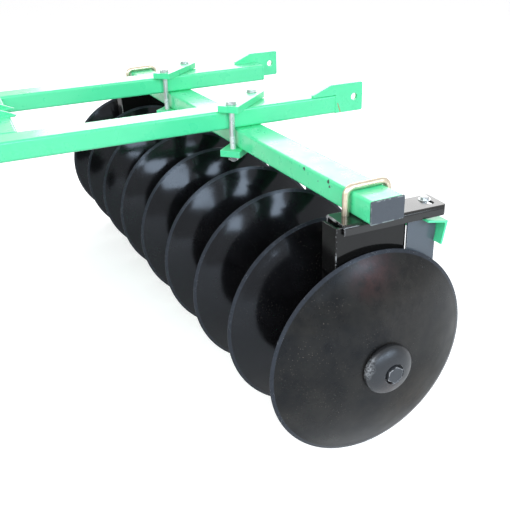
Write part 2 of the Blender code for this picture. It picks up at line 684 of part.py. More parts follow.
def lower_pin():
    """Stub pin that points towards +x from its lug's outer face, with its collar, threaded end and nut."""
    radius, collar = LOWER_PIN_DIAMETER / 2, PIN_COLLAR_DIAMETER / 2
    thread = radius * PIN_THREAD_SHARE
    inner = -LOWER_LUG_THICKNESS - 2 * GAP - PIN_NUT_HEIGHT
    tip = PIN_COLLAR_THICKNESS + LOWER_PIN_LENGTH
    profile = [(inner, 0), (inner, thread), (0, thread), (0, collar), (PIN_COLLAR_THICKNESS, collar)]
    profile += [(PIN_COLLAR_THICKNESS, radius), (tip - PIN_END_CHAMFER, radius)]
    profile += [(tip, radius - PIN_END_CHAMFER), (tip, 0)]
    nut_length = PIN_NUT_HEIGHT - PIN_END_CHAMFER
    nut_x = -LOWER_LUG_THICKNESS - 2 * GAP - nut_length / 2
    nut = prism(PIN_NUT_WIDTH, nut_length, 6, "x", (nut_x, 0, 0))
    return join([turned(profile, ROUND_SIDES), nut])


def mast_side(side):
    """Flat bar from the headstock tube up to the top link, bent so that its upper end is an upright cheek."""
    foot = RAIL_SPACING / 2 - MAST_FOOT_INSET
    inner = MAST_SLOT_WIDTH / 2
    thick = MAST_BAR_THICKNESS
    base = RAIL_TOP + GAP
    top = MAST_TOP + MAST_CHEEK_END
    knee = top - MAST_CHEEK_LENGTH
    outline = [(foot, base), (foot + thick, base), (inner + thick, knee), (inner + thick, top)]
    outline += [(inner, top), (inner, knee)]
    bar = plate([[(side * x, z) for x, z in outline]], MAST_BAR_WIDTH, "xz", (0, HEADSTOCK_Y, 0))
    hole = circle((HEADSTOCK_Y, MAST_TOP), TOP_PIN_DIAMETER + 2 * PLAY)
    drill = plate([hole], 2 * (inner + thick + OVERRUN), "yz")
    return join([bar, drill], "DIFFERENCE")


def top_pin():
    """Top link pin through both cheeks, its head towards -x."""
    reach = MAST_SLOT_WIDTH / 2 + MAST_BAR_THICKNESS + GAP
    radius, head = TOP_PIN_DIAMETER / 2, TOP_PIN_HEAD_DIAMETER / 2
    start = -reach - TOP_PIN_HEAD_THICKNESS
    tip = reach + TOP_PIN_TAIL
    profile = [(start, 0), (start, head), (-reach, head), (-reach, radius)]
    profile += [(tip - PIN_END_CHAMFER, radius), (tip, radius - PIN_END_CHAMFER), (tip, 0)]
    return turned(profile, ROUND_SIDES)


def brace(side):
    """Flat bar from a cheek of the mast back and down to the middle tube, its foot cut level."""
    x = side * (MAST_SLOT_WIDTH / 2 + MAST_BAR_THICKNESS + GAP + BRACE_THICKNESS / 2)
    head = Vector((HEADSTOCK_Y, MAST_TOP - BRACE_DROP))
    foot = Vector((MIDDLE_TUBE_AHEAD, RAIL_TOP + GAP))
    along = (foot - head).normalized()
    across = Vector((-along.y, along.x)) * BRACE_WIDTH / 2
    angle = math.atan2(across.y, across.x)
    cut = BRACE_WIDTH / 2 / abs(along.y)
    outline = arc(head, BRACE_WIDTH / 2, angle + math.pi, angle, ROUND_SIDES // 2)
    cut = math.copysign(cut, across.x)
    outline += [(foot.x + cut, foot.y), (foot.x - cut, foot.y)]
    return plate([outline], BRACE_THICKNESS, "yz", (x, 0, 0))


def build_gang(kind, root):
    """One gang: discs and axle on an empty on their axis, with the beam, hangers and scrapers over them."""
    name, facing = kind["name"], kind["facing"]
    y = facing * -GANG_SEPARATION / 2
    place = (facing * -GANG_SIDE_SHIFT, y, AXLE_HEIGHT)
    gang = empty(f"{name}_gang_frame", place, facing * GANG_ANGLE, root)
    spin = empty(f"{name}_gang_spin", (0, 0, 0), 0, gang)

    pattern = mirrored(disc(kind["notched"]), facing)
    for index in range(DISCS_PER_GANG):
        piece = solid("disc", pattern.data)
        finish(piece, f"{name}_disc_{index + 1}", "disc_black", spin, (facing * disc_x(index), 0, 0))
    bpy.data.objects.remove(pattern)
    finish(mirrored(axle(), facing), f"{name}_axle", "cast_black", spin)
    outer = hub_x(0) - GAP
    finish(mirrored(end_bell(), facing), f"{name}_end_bell", "cast_black", spin, (facing * outer, 0, 0))
    inner = hub_x(DISCS_PER_GANG - 1) + DISC_THICKNESS + GAP
    finish(mirrored(inner_bell(), facing), f"{name}_end_washer", "cast_black", spin, (facing * inner, 0, 0))

    first, last = hanger_x()
    beam_length = last - first + 2 * BEAM_OVERHANG
    beam_centre = facing * (first + last) / 2
    beam_z = BEAM_BOTTOM + TUBE_HEIGHT / 2
    finish(tube(beam_length), f"{name}_beam", "green_paint", gang, (beam_centre, -BEAM_SETBACK, beam_z))
    for side, label in ((-1, "left"), (1, "right")):
        cap = mirrored(end_cap(), side)
        place = (beam_centre + side * beam_length / 2, -BEAM_SETBACK, beam_z)
        finish(cap, f"{name}_beam_cap_{label}", "cap_plastic", gang, place)
    for label, x in zip(("outer", "inner"), (first, last)):
        finish(mirrored(hanger(), facing), f"{name}_hanger_{label}", "hanger_black", gang, (facing * x, 0, 0))
        finish(ubolt(), f"{name}_ubolt_{label}", "yellow_zinc", gang, (facing * (x + UBOLT_SHIFT), 0, 0))
    finish(mirrored(scraper_bar(), facing), f"{name}_scrapers", "green_paint", gang)

    for side, label in ((-1, "left"), (1, "right")):
        x = side * RAIL_SPACING / 2
        along = (x - gang.location.x) / math.cos(facing * GANG_ANGLE)
        beam_y = y + along * math.sin(facing * GANG_ANGLE) - BEAM_SETBACK / math.cos(GANG_ANGLE)
        finish(clamp(facing), f"{name}_clamp_{label}", "green_paint", root, (x, beam_y, 0))


def build_frame(root):
    """Rails, cross tubes, rear lugs, mast, braces and hitch pins."""
    middle = (RAIL_BOTTOM + RAIL_TOP) / 2
    rail_length = RAIL_FRONT_END - RAIL_REAR_END
    for side, label in ((-1, "left"), (1, "right")):
        place = (side * RAIL_SPACING / 2, (RAIL_FRONT_END + RAIL_REAR_END) / 2, middle)
        finish(tube(rail_length, axis="y"), f"rail_{label}", "green_paint", root, place)
        finish(rear_lug(side), f"rear_lug_{label}", "green_paint", root)
        finish(lower_lug(side), f"lower_link_lug_{label}", "green_paint", root)
        pin = mirrored(lower_pin(), side)
        pin_x = side * (HEADSTOCK_WIDTH / 2 + 2 * GAP + LOWER_LUG_THICKNESS)
        place = (pin_x, HEADSTOCK_Y + LOWER_LUG_REACH, middle - LOWER_LUG_DROP)
        finish(pin, f"lower_link_pin_{label}", "zinc", root, place)
        finish(mast_side(side), f"mast_{label}", "green_paint", root)
        finish(brace(side), f"mast_brace_{label}", "green_paint", root)
    finish(tube(HEADSTOCK_WIDTH), "headstock_tube", "green_paint", root, (0, HEADSTOCK_Y, middle))
    span = RAIL_SPACING - TUBE_WIDTH - 2 * GAP
    finish(tube(span), "middle_tube", "green_paint", root, (0, MIDDLE_TUBE_AHEAD, middle))
    finish(top_pin(), "top_link_pin", "zinc", root, (0, HEADSTOCK_Y, MAST_TOP))


def main():
    root = empty("harrow", (0, -LENGTH_CENTRE, 0))
    build_frame(root)
    for kind in (FRONT, REAR):
        build_gang(kind, root)


clear_scene()
PARTS = collection("disc_harrow")
GUIDES = collection("guides")
main()
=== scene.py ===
"""Looks for the mounted disc harrow: fine shapes, materials, studio and camera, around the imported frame.

Lengths are in metres. A gang's own frame has x along its axle, y forwards and z up from the axle.
"""

import math

import bmesh
import bpy
from mathutils import Matrix, Vector, noise


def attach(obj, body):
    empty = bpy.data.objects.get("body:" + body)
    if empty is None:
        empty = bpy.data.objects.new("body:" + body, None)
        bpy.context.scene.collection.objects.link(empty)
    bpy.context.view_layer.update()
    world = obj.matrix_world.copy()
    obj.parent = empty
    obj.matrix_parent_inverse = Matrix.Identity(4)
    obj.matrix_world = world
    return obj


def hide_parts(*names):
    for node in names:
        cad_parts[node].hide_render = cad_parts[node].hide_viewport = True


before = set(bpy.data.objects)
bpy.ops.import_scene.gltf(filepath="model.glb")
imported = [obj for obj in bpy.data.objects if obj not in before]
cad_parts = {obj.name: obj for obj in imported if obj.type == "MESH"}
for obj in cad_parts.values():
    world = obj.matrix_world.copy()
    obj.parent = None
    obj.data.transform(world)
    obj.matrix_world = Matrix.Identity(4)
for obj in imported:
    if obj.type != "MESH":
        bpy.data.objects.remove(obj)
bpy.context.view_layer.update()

PI = math.pi

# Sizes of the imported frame
GAP = 0.0003
COUNT, SPACING = 9, 0.215
HALF_GANG = SPACING * (COUNT - 1) / 2
ANGLE = math.radians(3.3)
SEPARATION, SHIFT = 1.10, 0.065
CENTRE_Y, AXLE_HEIGHT = 0.033, 0.255
DISC_RADIUS, DISC_THICKNESS, DISC_DISH, DISC_FLAT = 0.255, 0.0045, 0.065, 0.056
BOWL_RADIUS = (DISC_RADIUS**2 - DISC_FLAT**2 + DISC_DISH**2) / (2 * DISC_DISH)
DISC_HOLE, DISC_BEVEL_WIDTH = 0.017, 0.008
NOTCH_COUNT, NOTCH_RADIUS, NOTCH_DEPTH = 10, 0.036, 0.030
NOTCH_PITCH = 2 * PI / NOTCH_COUNT
NOTCH_CENTRE = DISC_RADIUS - NOTCH_DEPTH + NOTCH_RADIUS
TUBE_W, TUBE_H, TUBE_WALL, TUBE_CORNER = 0.084, 0.052, 0.004, 0.007
BEAM_BOTTOM, BEAM_BACK, BEAM_OVERHANG = 0.325, 0.019, 0.061
BEAM_TOP = BEAM_BOTTOM + TUBE_H
RAIL_BOTTOM = AXLE_HEIGHT + BEAM_TOP + GAP
RAIL_TOP = RAIL_BOTTOM + TUBE_H
RAIL_MIDDLE = (RAIL_BOTTOM + RAIL_TOP) / 2
RAIL_X, RAIL_REAR, RAIL_FRONT = 0.260, -0.853, 0.850
MIDDLE_Y, HEAD_Y, HEAD_W = 0.060, RAIL_FRONT + GAP + TUBE_W / 2, 0.700
LINK_Y, LINK_Z = HEAD_Y + 0.075, RAIL_BOTTOM + TUBE_H / 2 - 0.058
LUG_THICK, LINK_PIN_R = 0.012, 0.0140
MAST_TOP, MAST_SLOT, MAST_FOOT, MAST_THICK = LINK_Z + 0.510, 0.026, 0.200, 0.012
HANGER_DEPTH, ARM_THICK, ARM_DEPTH = 0.080, 0.006, 0.022
HANGER_X = (-HALF_GANG + 0.046, HALF_GANG - SPACING + 0.046)
SHAFT_R, SPOOL_FLANGE_R = 0.0150, 0.052
CLAMP_THICK, CLAMP_HALF_WIDTH = 0.018, 0.030

# Fasteners and welds
BOLT_R = 0.008
HEX_FLATS, HEX_EDGE, NUT_HEIGHT, HEAD_HEIGHT = 0.024, 0.0010, 0.0128, 0.0098
WASHER_OUTER, WASHER_INNER = 0.0150, 0.0085
BEAD_STEP, BEAD_RIPPLE, BEAD_END = 0.0016, 0.16, 0.45
BEAD_R = 0.0028

# Mesh clean-up: points nearer than this are joined, faces narrower than this are an arris
MERGE, NARROW = 0.00002, 0.0013
NORMAL_WEIGHT = 90
NOTHING = 1e-6


def at(*place):
    return Matrix.Translation(place)


def turned(angle, axis):
    return Matrix.Rotation(angle, 4, axis)


ROOT = at(0, -CENTRE_Y, 0)
DOWNWARDS = turned(PI, "X")


def gang_matrix(facing):
    """From a gang's own frame to the shared frame. The gang that faces -1 is mirrored in x."""
    place = at(facing * -SHIFT, facing * -SEPARATION / 2, AXLE_HEIGHT)
    return ROOT @ place @ turned(facing * ANGLE, "Z") @ Matrix.Scale(facing, 4, (1, 0, 0))


# Shapes. Each returns a mesh; a piece joins several of them.
def new_object(name, data):
    obj = bpy.data.objects.new(name, data)
    bpy.context.scene.collection.objects.link(obj)
    return obj


def new_mesh(work, name="shape"):
    """The bmesh as a mesh. The bmesh is freed."""
    mesh = bpy.data.meshes.new(name)
    work.to_mesh(mesh)
    work.free()
    return mesh


def evaluated(obj):
    """The mesh of an object with its curve filled or its modifiers applied."""
    bpy.context.view_layer.update()
    graph = bpy.context.evaluated_depsgraph_get()
    return bpy.data.meshes.new_from_object(obj.evaluated_get(graph))


def filled(curve):
    obj = new_object("shape", curve)
    mesh = evaluated(obj)
    bpy.data.objects.remove(obj)
    bpy.data.curves.remove(curve)
    work = bmesh.new()
    work.from_mesh(mesh)
    bmesh.ops.remove_doubles(work, verts=work.verts, dist=MERGE)
    bmesh.ops.dissolve_degenerate(work, edges=work.edges, dist=MERGE)
    bmesh.ops.recalc_face_normals(work, faces=work.faces)
    work.to_mesh(mesh)
    work.free()
    return mesh


def area_of(outline):
    corners = zip(outline, outline[1:] + outline[:1])
    return sum(x0 * y1 - x1 * y0 for (x0, y0), (x1, y1) in corners) / 2


def plate(outlines, thickness, axes="xy", centre=(0, 0, 0), edge=0.0008):
    """A flat outline with holes, its arrises rounded by edge."""
    curve = bpy.data.curves.new("outline", "CURVE")
    curve.dimensions = "2D"
    curve.fill_mode = "BOTH"
    curve.extrude = thickness / 2 - edge
    curve.bevel_depth = edge
    curve.bevel_resolution = 1
    curve.offset = -edge
    for index, outline in enumerate(outlines):
        if (area_of(outline) > 0) == (index > 0):
            outline = outline[::-1]
        spline = curve.splines.new("POLY")
        spline.points.add(len(outline) - 1)
        for point, (u, v) in zip(spline.points, outline):
            point.co = (u, v, 0, 1)
        spline.use_cyclic_u = True
    mesh = filled(curve)
    first, second = (Vector([float(axis == name) for name in "xyz"]) for axis in axes)
    turn = Matrix((first, second, first.cross(second))).transposed().to_4x4()
    mesh.transform(at(*centre) @ turn)
    return mesh


def arc(centre, radius, start, end, steps):
    angles = [start + (end - start) * step / steps for step in range(steps + 1)]
    return [(centre[0] + radius * math.cos(a), centre[1] + radius * math.sin(a)) for a in angles]


def circle(centre, diameter, sides=48):
    return arc(centre, diameter / 2, 0, 2 * PI, sides)[:-1]


def rounded_box(width, height, radius):
    points = []
    for quarter, (side_u, side_v) in enumerate(((1, 1), (-1, 1), (-1, -1), (1, -1))):
        corner = (side_u * (width / 2 - radius), side_v * (height / 2 - radius))
        points += arc(corner, radius, quarter * PI / 2, (quarter + 1) * PI / 2, 6)
    return points


def slot_outline(centre, length, width):
    reach = (length - width) / 2
    right = arc((centre[0] + reach, centre[1]), width / 2, -PI / 2, PI / 2, 12)
    left = arc((centre[0] - reach, centre[1]), width / 2, PI / 2, 3 * PI / 2, 12)
    return right + left


def softened(points, radius, steps=5):
    """The closed outline with each corner rounded."""
    result = []
    for i, point in enumerate(points):
        here, before = Vector(point), Vector(points[i - 1])
        after = Vector(points[(i + 1) % len(points)])
        a, b = before - here, after - here
        reach = min(radius, a.length * 0.45, b.length * 0.45)
        start, end = here + a.normalized() * reach, here + b.normalized() * reach
        for step in range(steps + 1):
            t = step / steps
            mixed = start * (1 - t) ** 2 + here * 2 * t * (1 - t) + end * t**2
            result.append((mixed.x, mixed.y))
    return result


def lathe(profile, sides=96, axis="x"):
    """A closed or axis-to-axis profile of (along, radius) points turned about the axis, x or z."""
    work = bmesh.new()
    rings = []
    for along, radius in profile:
        angles = [2 * PI * k / sides for k in range(sides)] if radius >= NOTHING else [0]
        radius = radius if radius >= NOTHING else 0
        rings.append([work.verts.new((along, radius * math.cos(a), radius * math.sin(a))) for a in angles])
    pairs = list(zip(rings, rings[1:]))
    if profile[0][1] > NOTHING and profile[-1][1] > NOTHING:
        pairs.append((rings[-1], rings[0]))
    for first, second in pairs:
        for k in range(sides):
            n = (k + 1) % sides
            corners = [ring[i % len(ring)] for ring, i in ((first, k), (first, n), (second, n), (second, k))]
            unique = list(dict.fromkeys(corners))
            if len(unique) > 2:
                work.faces.new(unique)
    bmesh.ops.recalc_face_normals(work, faces=work.faces)
    mesh = new_mesh(work)
    if axis == "z":
        mesh.transform(turned(-PI / 2, "Y"))
    return mesh


def rod(path, radius, sides=20, ripple=0.0, seed=0):
    """A round bar along a path, or a weld bead where ripple is not nothing."""
    work = bmesh.new()
    points = [Vector(p) for p in path]
    rings = []
    normal = None
    for i, point in enumerate(points):
        ahead = points[min(i + 1, len(points) - 1)] - points[max(i - 1, 0)]
        tangent = ahead.normalized()
        if normal is None:
            helper = Vector((0, 0, 1)) if abs(tangent.z) < 0.9 else Vector((1, 0, 0))
            normal = tangent.cross(helper).normalized()
        normal = (normal - tangent * normal.dot(tangent)).normalized()
        side = tangent.cross(normal)
        r = radius
        if ripple:
            r *= 1 + ripple * math.sin(i * 2.1 + seed) + ripple * noise.noise(point * 300)
            if i in (0, len(points) - 1):
                r *= BEAD_END
        angles = [2 * PI * k / sides for k in range(sides)]
        rings.append([work.verts.new(point + (normal * math.cos(a) + side * math.sin(a)) * r) for a in angles])
    for first, second in zip(rings, rings[1:]):
        for k in range(sides):
            n = (k + 1) % sides
            work.faces.new((first[k], first[n], second[n], second[k]))
    work.faces.new(rings[0][::-1])
    work.faces.new(rings[-1])
    bmesh.ops.recalc_face_normals(work, faces=work.faces)
    return new_mesh(work)


def bead(start, end, radius=BEAD_R, seed=0):
    """A weld bead in a straight seam."""
    start, end = Vector(start), Vector(end)
    steps = max(4, int((end - start).length / BEAD_STEP))
    path = [start.lerp(end, i / steps) for i in range(steps + 1)]
    return rod(path, radius, 10, BEAD_RIPPLE, seed)


def beads_x(places, start, end, radius, seed):
    """Beads along x through each (y, z)."""
    return [bead((start, y, z), (end, y, z), radius, seed) for y, z in places]


def beads_y(places, start, end, radius, seed):
    """Beads along y through each (x, z)."""
    return [bead((x, start, z), (x, end, z), radius, seed) for x, z in places]


def beads_z(places, start, end, radius, seed):
    """Beads along z through each (x, y)."""
    return [bead((x, y, start), (x, y, end), radius, seed) for x, y in places]


def moved(mesh, matrix):
    mesh.transform(matrix)
    if matrix.determinant() < 0:
        mesh.flip_normals()
    return mesh


def hexagon(width, height, centre=(0, 0, 0), axis="z", turn=0.0, edge=HEX_EDGE):
    """A nut or bolt head, width across flats, with its length along the axis, x or z."""
    outline = arc((0, 0), width / 2 / math.cos(PI / 6), turn, turn + 2 * PI, 6)[:-1]
    return plate([outline], height, {"x": "yz", "z": "xy"}[axis], centre, edge)


def threaded(radius, length, pitch=0.002):
    """A threaded stud from 0 to length along +z, its tip chamfered."""
    tip = 0.0012
    profile = [(0, 0), (0, radius * 0.9)]
    along = 0.0
    while along + pitch < length - tip:
        profile += [(along + pitch * 0.25, radius * 0.88), (along + pitch * 0.75, radius)]
        along += pitch
    profile += [(length - tip, radius), (length, radius * 0.82), (length, 0)]
    return lathe(profile, 32, "z")


def washer(outer, inner, thickness, centre=(0, 0, 0)):
    chamfer = 0.0006
    profile = [(0, inner), (0, outer - chamfer), (chamfer, outer), (thickness - chamfer, outer)]
    profile += [(thickness, outer - chamfer), (thickness, inner)]
    return moved(lathe(profile, 40, "z"), at(*centre))


def dished_head(width, height, centre, seed=0):
    """A forged bolt head: a hexagon with a chamfered crown."""
    body = hexagon(width, height * 0.82, (0, 0, height * 0.41), "z", seed * 0.37)
    crown = [(height * 0.55, 0), (height * 0.55, width * 0.47), (height * 0.82, width * 0.47)]
    crown += [(height, width * 0.38), (height, 0)]
    return joined([body, lathe(crown, 36, "z")], centre)


def ring_path(x, radius, z=0.0, steps=40):
    """A closed ring round the x axis, for a linch pin's spring or a weld."""
    angles = [PI * 2 * i / steps for i in range(steps + 1)]
    return [(x, radius * math.sin(a), z + radius * math.cos(a)) for a in angles]


def joined(meshes, centre=(0, 0, 0)):
    work = bmesh.new()
    for mesh in meshes:
        work.from_mesh(mesh)
        bpy.data.meshes.remove(mesh)
    return moved(new_mesh(work), at(*centre))


def cut(mesh, cutters):
    """The mesh with the cutters taken out of it."""
    holder = new_object("cut", mesh)
    tools = [new_object("cutter", cutter) for cutter in cutters]
    for tool in tools:
        modifier = holder.modifiers.new("cut", "BOOLEAN")
        modifier.operation = "DIFFERENCE"
        modifier.object = tool
    result = evaluated(holder)
    for obj in (holder, *tools):
        bpy.data.objects.remove(obj)
    return result


def show(name, mesh, materials, sharp, body, node):
    """An object that takes the node's place and rides on the body."""
    for material in materials:
        mesh.materials.append(material)
    mesh.shade_smooth()
    mesh.set_sharp_from_angle(angle=math.radians(sharp))
    obj = new_object(name, mesh)
    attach(obj, body)
    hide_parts(node)
    return obj


def piece(node, groups, matrix, body="frame", name=None):
    """The shown object for a node, from groups of (material, meshes)."""
    name = name or f"{node}_fine"
    work = bmesh.new()
    for index, (_, meshes) in enumerate(groups):
        for mesh in meshes:
            before = len(work.faces)
            work.from_mesh(mesh)
            work.faces.ensure_lookup_table()
            for face in work.faces[before:]:
                face.material_index = index
            bpy.data.meshes.remove(mesh)
    longest = [max(e.calc_length() for e in face.edges) for face in work.faces]
    narrow = [float(face.calc_area() < NARROW * length) for face, length in zip(work.faces, longest)]
    mesh = new_mesh(work, name)
    mesh.attributes.new("arris", "FLOAT", "FACE").data.foreach_set("value", narrow)
    moved(mesh, matrix)
    obj = show(name, mesh, [material for material, _ in groups], 40, body, node)
    weighted = obj.modifiers.new("normals", "WEIGHTED_NORMAL")
    weighted.keep_sharp = True
    weighted.weight = NORMAL_WEIGHT


# Materials
class Nodes:
    """Short calls for building a material. A value is a number, a colour, a point or an output."""

    def __init__(self, name, **settings):
        self.material = bpy.data.materials.new(name)
        self.material.use_nodes = True
        self.tree = self.material.node_tree
        self.shader = self.tree.nodes["Principled BSDF"]
        self.place = self.node("ShaderNodeTexCoord").outputs["Object"]
        self.set(**settings)

    def feed(self, socket, value):
        if isinstance(value, bpy.types.NodeSocket):
            self.tree.links.new(value, socket)
        elif socket.type == "RGBA":
            socket.default_value = (*value, 1)
        else:
            socket.default_value = value

    def set(self, **values):
        for key, value in values.items():
            self.feed(self.shader.inputs[key.replace("_", " ")], value)

    def node(self, kind, operation=None, *values, **named):
        node = self.tree.nodes.new(kind)
        if operation:
            node.operation = operation
        for socket, value in zip(node.inputs, values):
            self.feed(socket, value)
        for key, value in named.items():
            self.feed(node.inputs[key.replace("_", " ")], value)
        return node

    def noise(self, scale, detail=3.0, roughness=0.5):
        kind = "ShaderNodeTexNoise"
        node = self.node(kind, Vector=self.place, Scale=scale, Detail=detail, Roughness=roughness)
        return node.outputs["Fac"]

    def cells(self, scale):
        return self.node("ShaderNodeTexVoronoi", Vector=self.place, Scale=scale).outputs["Distance"]

    def ramp(self, source, low, high, start=0.0, end=1.0):
        node = self.node("ShaderNodeMapRange", None, source, low, high, start, end)
        return node.outputs["Result"]

    def times(self, first, second):
        return self.node("ShaderNodeMath", "MULTIPLY", first, second).outputs["Value"]

    def plus(self, first, second):
        return self.node("ShaderNodeMath", "ADD", first, second).outputs["Value"]

    def vector(self, operation, first, second, output):
        return self.node("ShaderNodeVectorMath", operation, first, second).outputs[output]

    def mix(self, factor, first, second):
        node = self.node("ShaderNodeMix")
        node.data_type = "RGBA"
        for index, value in ((0, factor), (6, first), (7, second)):
            self.feed(node.inputs[index], value)
        return node.outputs[2]

    def arris(self):
        """1 on the narrow faces along an arris, 0 elsewhere."""
        node = self.node("ShaderNodeAttribute")
        node.attribute_name = "arris"
        return node.outputs["Fac"]

    def spot(self, centre, radius):
        """1 within a ragged spot."""
        distance = self.vector("DISTANCE", self.place, centre, "Value")
        ragged = self.plus(distance, self.times(self.noise(260, 2.0), radius))
        return self.ramp(ragged, radius * 1.05, radius * 0.95)

    def haze(self, centre, inner, outer):
        """1 near the centre, fading to 0 at the outer radius."""
        return self.ramp(self.vector("DISTANCE", self.place, centre, "Value"), outer, inner)

    def scratch(self, start, end, width):
        """1 along the line from start to end."""
        start, along = Vector(start), Vector(end) - Vector(start)
        away = self.vector("SUBTRACT", self.place, start, "Vector")
        share = self.vector("DOT_PRODUCT", away, along / along.length_squared, "Value")
        share = self.ramp(share, 0.0, 1.0)
        foot = self.node("ShaderNodeVectorMath", "SCALE", along, Scale=share).outputs["Vector"]
        return self.ramp(self.vector("DISTANCE", away, foot, "Value"), width, width * 0.4)

    def bump(self, height, strength, distance):
        normal = self.shader.inputs["Normal"]
        before = [link.from_socket for link in normal.links]
        node = self.node("ShaderNodeBump", Height=height, Strength=strength, Distance=distance)
        for output in before:
            self.feed(node.inputs["Normal"], output)
        self.feed(normal, node.outputs["Normal"])


# A blue specular tint: the sky's colour painted into the reflections.
PAINTED_SKY_TINT = (0.84, 0.90, 1.0)
BARE = (0.42, 0.43, 0.44)
RUBBED_IRON = (0.30, 0.30, 0.31)


def green_enamel(name, chips, rust):
    n = Nodes(name, Coat_Weight=0.4, Coat_Roughness=0.12)
    base = n.mix(n.noise(9, 4, 0.6), (0.078, 0.760, 0.345), (0.104, 0.820, 0.400))
    dust = n.ramp(n.noise(240, 4, 0.7), 0.62, 0.80)
    base = n.mix(dust, base, (0.18, 0.78, 0.44))
    for centre, radius in chips:
        base = n.mix(n.spot(centre, radius), base, (0.035, 0.030, 0.026))
    for line in rust:
        base = n.mix(n.scratch(*line), base, (0.42, 0.22, 0.06))
    edge = n.times(n.arris(), n.ramp(n.noise(55, 4, 0.7), 0.64, 0.72))
    base = n.mix(n.times(edge, 0.40), base, (0.050, 0.060, 0.050))
    n.set(Base_Color=base, Roughness=n.ramp(n.noise(30, 3), 0.3, 0.7, 0.24, 0.38))
    n.bump(n.noise(420, 2), 0.05, 0.0006)
    n.bump(n.noise(7, 1), 0.03, 0.002)
    return n.material


def black_disc(name, dark, light, gloss, level, dust=0.35, marks=(), dull=None):
    """Black paint on a disc, with scratches and stains, and dull where it has lost its gloss."""
    n = Nodes(name, Specular_IOR_Level=level, Specular_Tint=PAINTED_SKY_TINT)
    base = n.mix(n.ramp(n.noise(14, 5, 0.6), 0.35, 0.62), dark, light)
    specks = n.times(n.ramp(n.cells(190), 0.17, 0.07), n.ramp(n.noise(13, 3), 0.48, 0.66))
    base = n.mix(n.times(specks, dust), base, (0.20, 0.17, 0.14))
    for kind, where, colour in marks:
        share = n.haze(*where) if kind == "haze" else n.scratch(*where)
        share = n.times(share, n.ramp(n.noise(40, 4, 0.7), 0.30, 0.62))
        base = n.mix(share, base, colour)
    rough = n.ramp(n.noise(11, 5, 0.6), 0.3, 0.75, *gloss)
    if dull:
        rough = n.plus(rough, n.times(n.haze(*dull), 0.34))
    n.set(Base_Color=base, Roughness=rough)
    n.bump(n.noise(6.5, 2), 0.25, 0.010)
    n.bump(n.noise(700, 2), 0.05, 0.0004)
    return n.material


def bevel_steel(name):
    """The ground band round a disc's rim, under thin paint."""
    # The blue specular tint is the sky's colour painted into the reflections.
    n = Nodes(name, Specular_IOR_Level=0.24, Specular_Tint=(0.80, 0.88, 1.0))
    base = n.mix(n.noise(60, 4), (0.016, 0.018, 0.023), (0.034, 0.038, 0.047))
    flecks = n.times(n.ramp(n.cells(330), 0.16, 0.10), n.ramp(n.noise(24, 3), 0.50, 0.60))
    rough = n.ramp(n.noise(90, 3), 0.3, 0.7, 0.16, 0.30)
    n.set(Base_Color=n.mix(flecks, base, BARE), Roughness=rough)
    n.bump(n.noise(300, 2), 0.10, 0.0004)
    return n.material


def black_steel(name, dark, light, level=0.5, chips=0.5):
    """Black paint on pressed steel, knocked off along its arrises."""
    n = Nodes(name, Specular_IOR_Level=level)
    base = n.mix(n.noise(18, 4), dark, light)
    wear = n.times(n.arris(), n.ramp(n.noise(70, 4, 0.7), 0.44, 0.58))
    base = n.mix(n.times(wear, min(chips * 2.2, 1)), base, BARE)
    specks = n.times(n.ramp(n.cells(210), 0.09, 0.05), n.ramp(n.noise(30, 2), 0.60, 0.66))
    base = n.mix(n.times(specks, chips), base, (0.26, 0.25, 0.24))
    n.set(Base_Color=base, Roughness=n.ramp(n.noise(14, 2), 0.3, 0.7, 0.10, 0.20))
    n.bump(n.noise(380, 2), 0.04, 0.0005)
    return n.material


def cast_iron(name, dark, light, rubbed=0.6, gloss=(0.26, 0.42), marks=(), level=0.36, worn=(0.48, 0.58)):
    """Black iron, rubbed bright along its arrises from one level of worn to the other."""
    # The blue specular tint is the sky's colour painted into the reflections.
    n = Nodes(name, Specular_IOR_Level=level, Specular_Tint=(0.86, 0.92, 1.0))
    base = n.mix(n.noise(30, 5), dark, light)
    wear = n.times(n.arris(), n.ramp(n.noise(160, 3), *worn))
    base = n.mix(n.times(wear, rubbed), base, RUBBED_IRON)
    for where, colour in marks:
        share = n.times(n.haze(*where), n.ramp(n.noise(170, 4, 0.7), 0.42, 0.60))
        base = n.mix(share, base, colour)
    flecks = n.times(n.ramp(n.cells(240), 0.12, 0.07), n.ramp(n.noise(26, 3), 0.52, 0.62))
    base = n.mix(n.times(flecks, 0.6), base, RUBBED_IRON)
    n.set(Base_Color=base, Roughness=n.ramp(n.noise(60, 4), 0.3, 0.7, *gloss))
    n.bump(n.noise(520, 4, 0.7), 0.20, 0.0008)
    n.bump(n.cells(300), 0.12, 0.0008)
    return n.material


def plastic(name):
    n = Nodes(name)
    base = n.mix(n.noise(50, 3), (0.050, 0.058, 0.070), (0.062, 0.072, 0.086))
    # Lighter grey-green along the arrises: partly rubbed wear, partly a painted edge highlight.
    rubbed = n.times(n.arris(), n.ramp(n.noise(90, 4, 0.7), 0.46, 0.56))
    base = n.mix(n.times(rubbed, 0.7), base, (0.26, 0.31, 0.30))
    n.set(Base_Color=base, Roughness=n.ramp(n.noise(200, 3), 0.3, 0.7, 0.48, 0.62))
    n.bump(n.noise(900, 3), 0.18, 0.0004)
    return n.material


def plated(name, light, dark, metallic, stained):
    """Plating. Its stains are the dark colour times stained."""
    n = Nodes(name, Metallic=metallic)
    base = n.mix(n.noise(40, 5, 0.7), dark, light)
    base = n.mix(n.ramp(n.noise(110, 3), 0.60, 0.75), base, tuple(c * stained for c in dark))
    n.set(Base_Color=base, Roughness=n.ramp(n.noise(70, 4), 0.3, 0.7, 0.24, 0.44))
    n.bump(n.noise(600, 3), 0.12, 0.0004)
    return n.material


def on_gang(x, y, z):
    """A point given in the rear gang's own frame, x from its first disc."""
    return tuple(gang_matrix(1) @ Vector((x - HALF_GANG, y, z)))


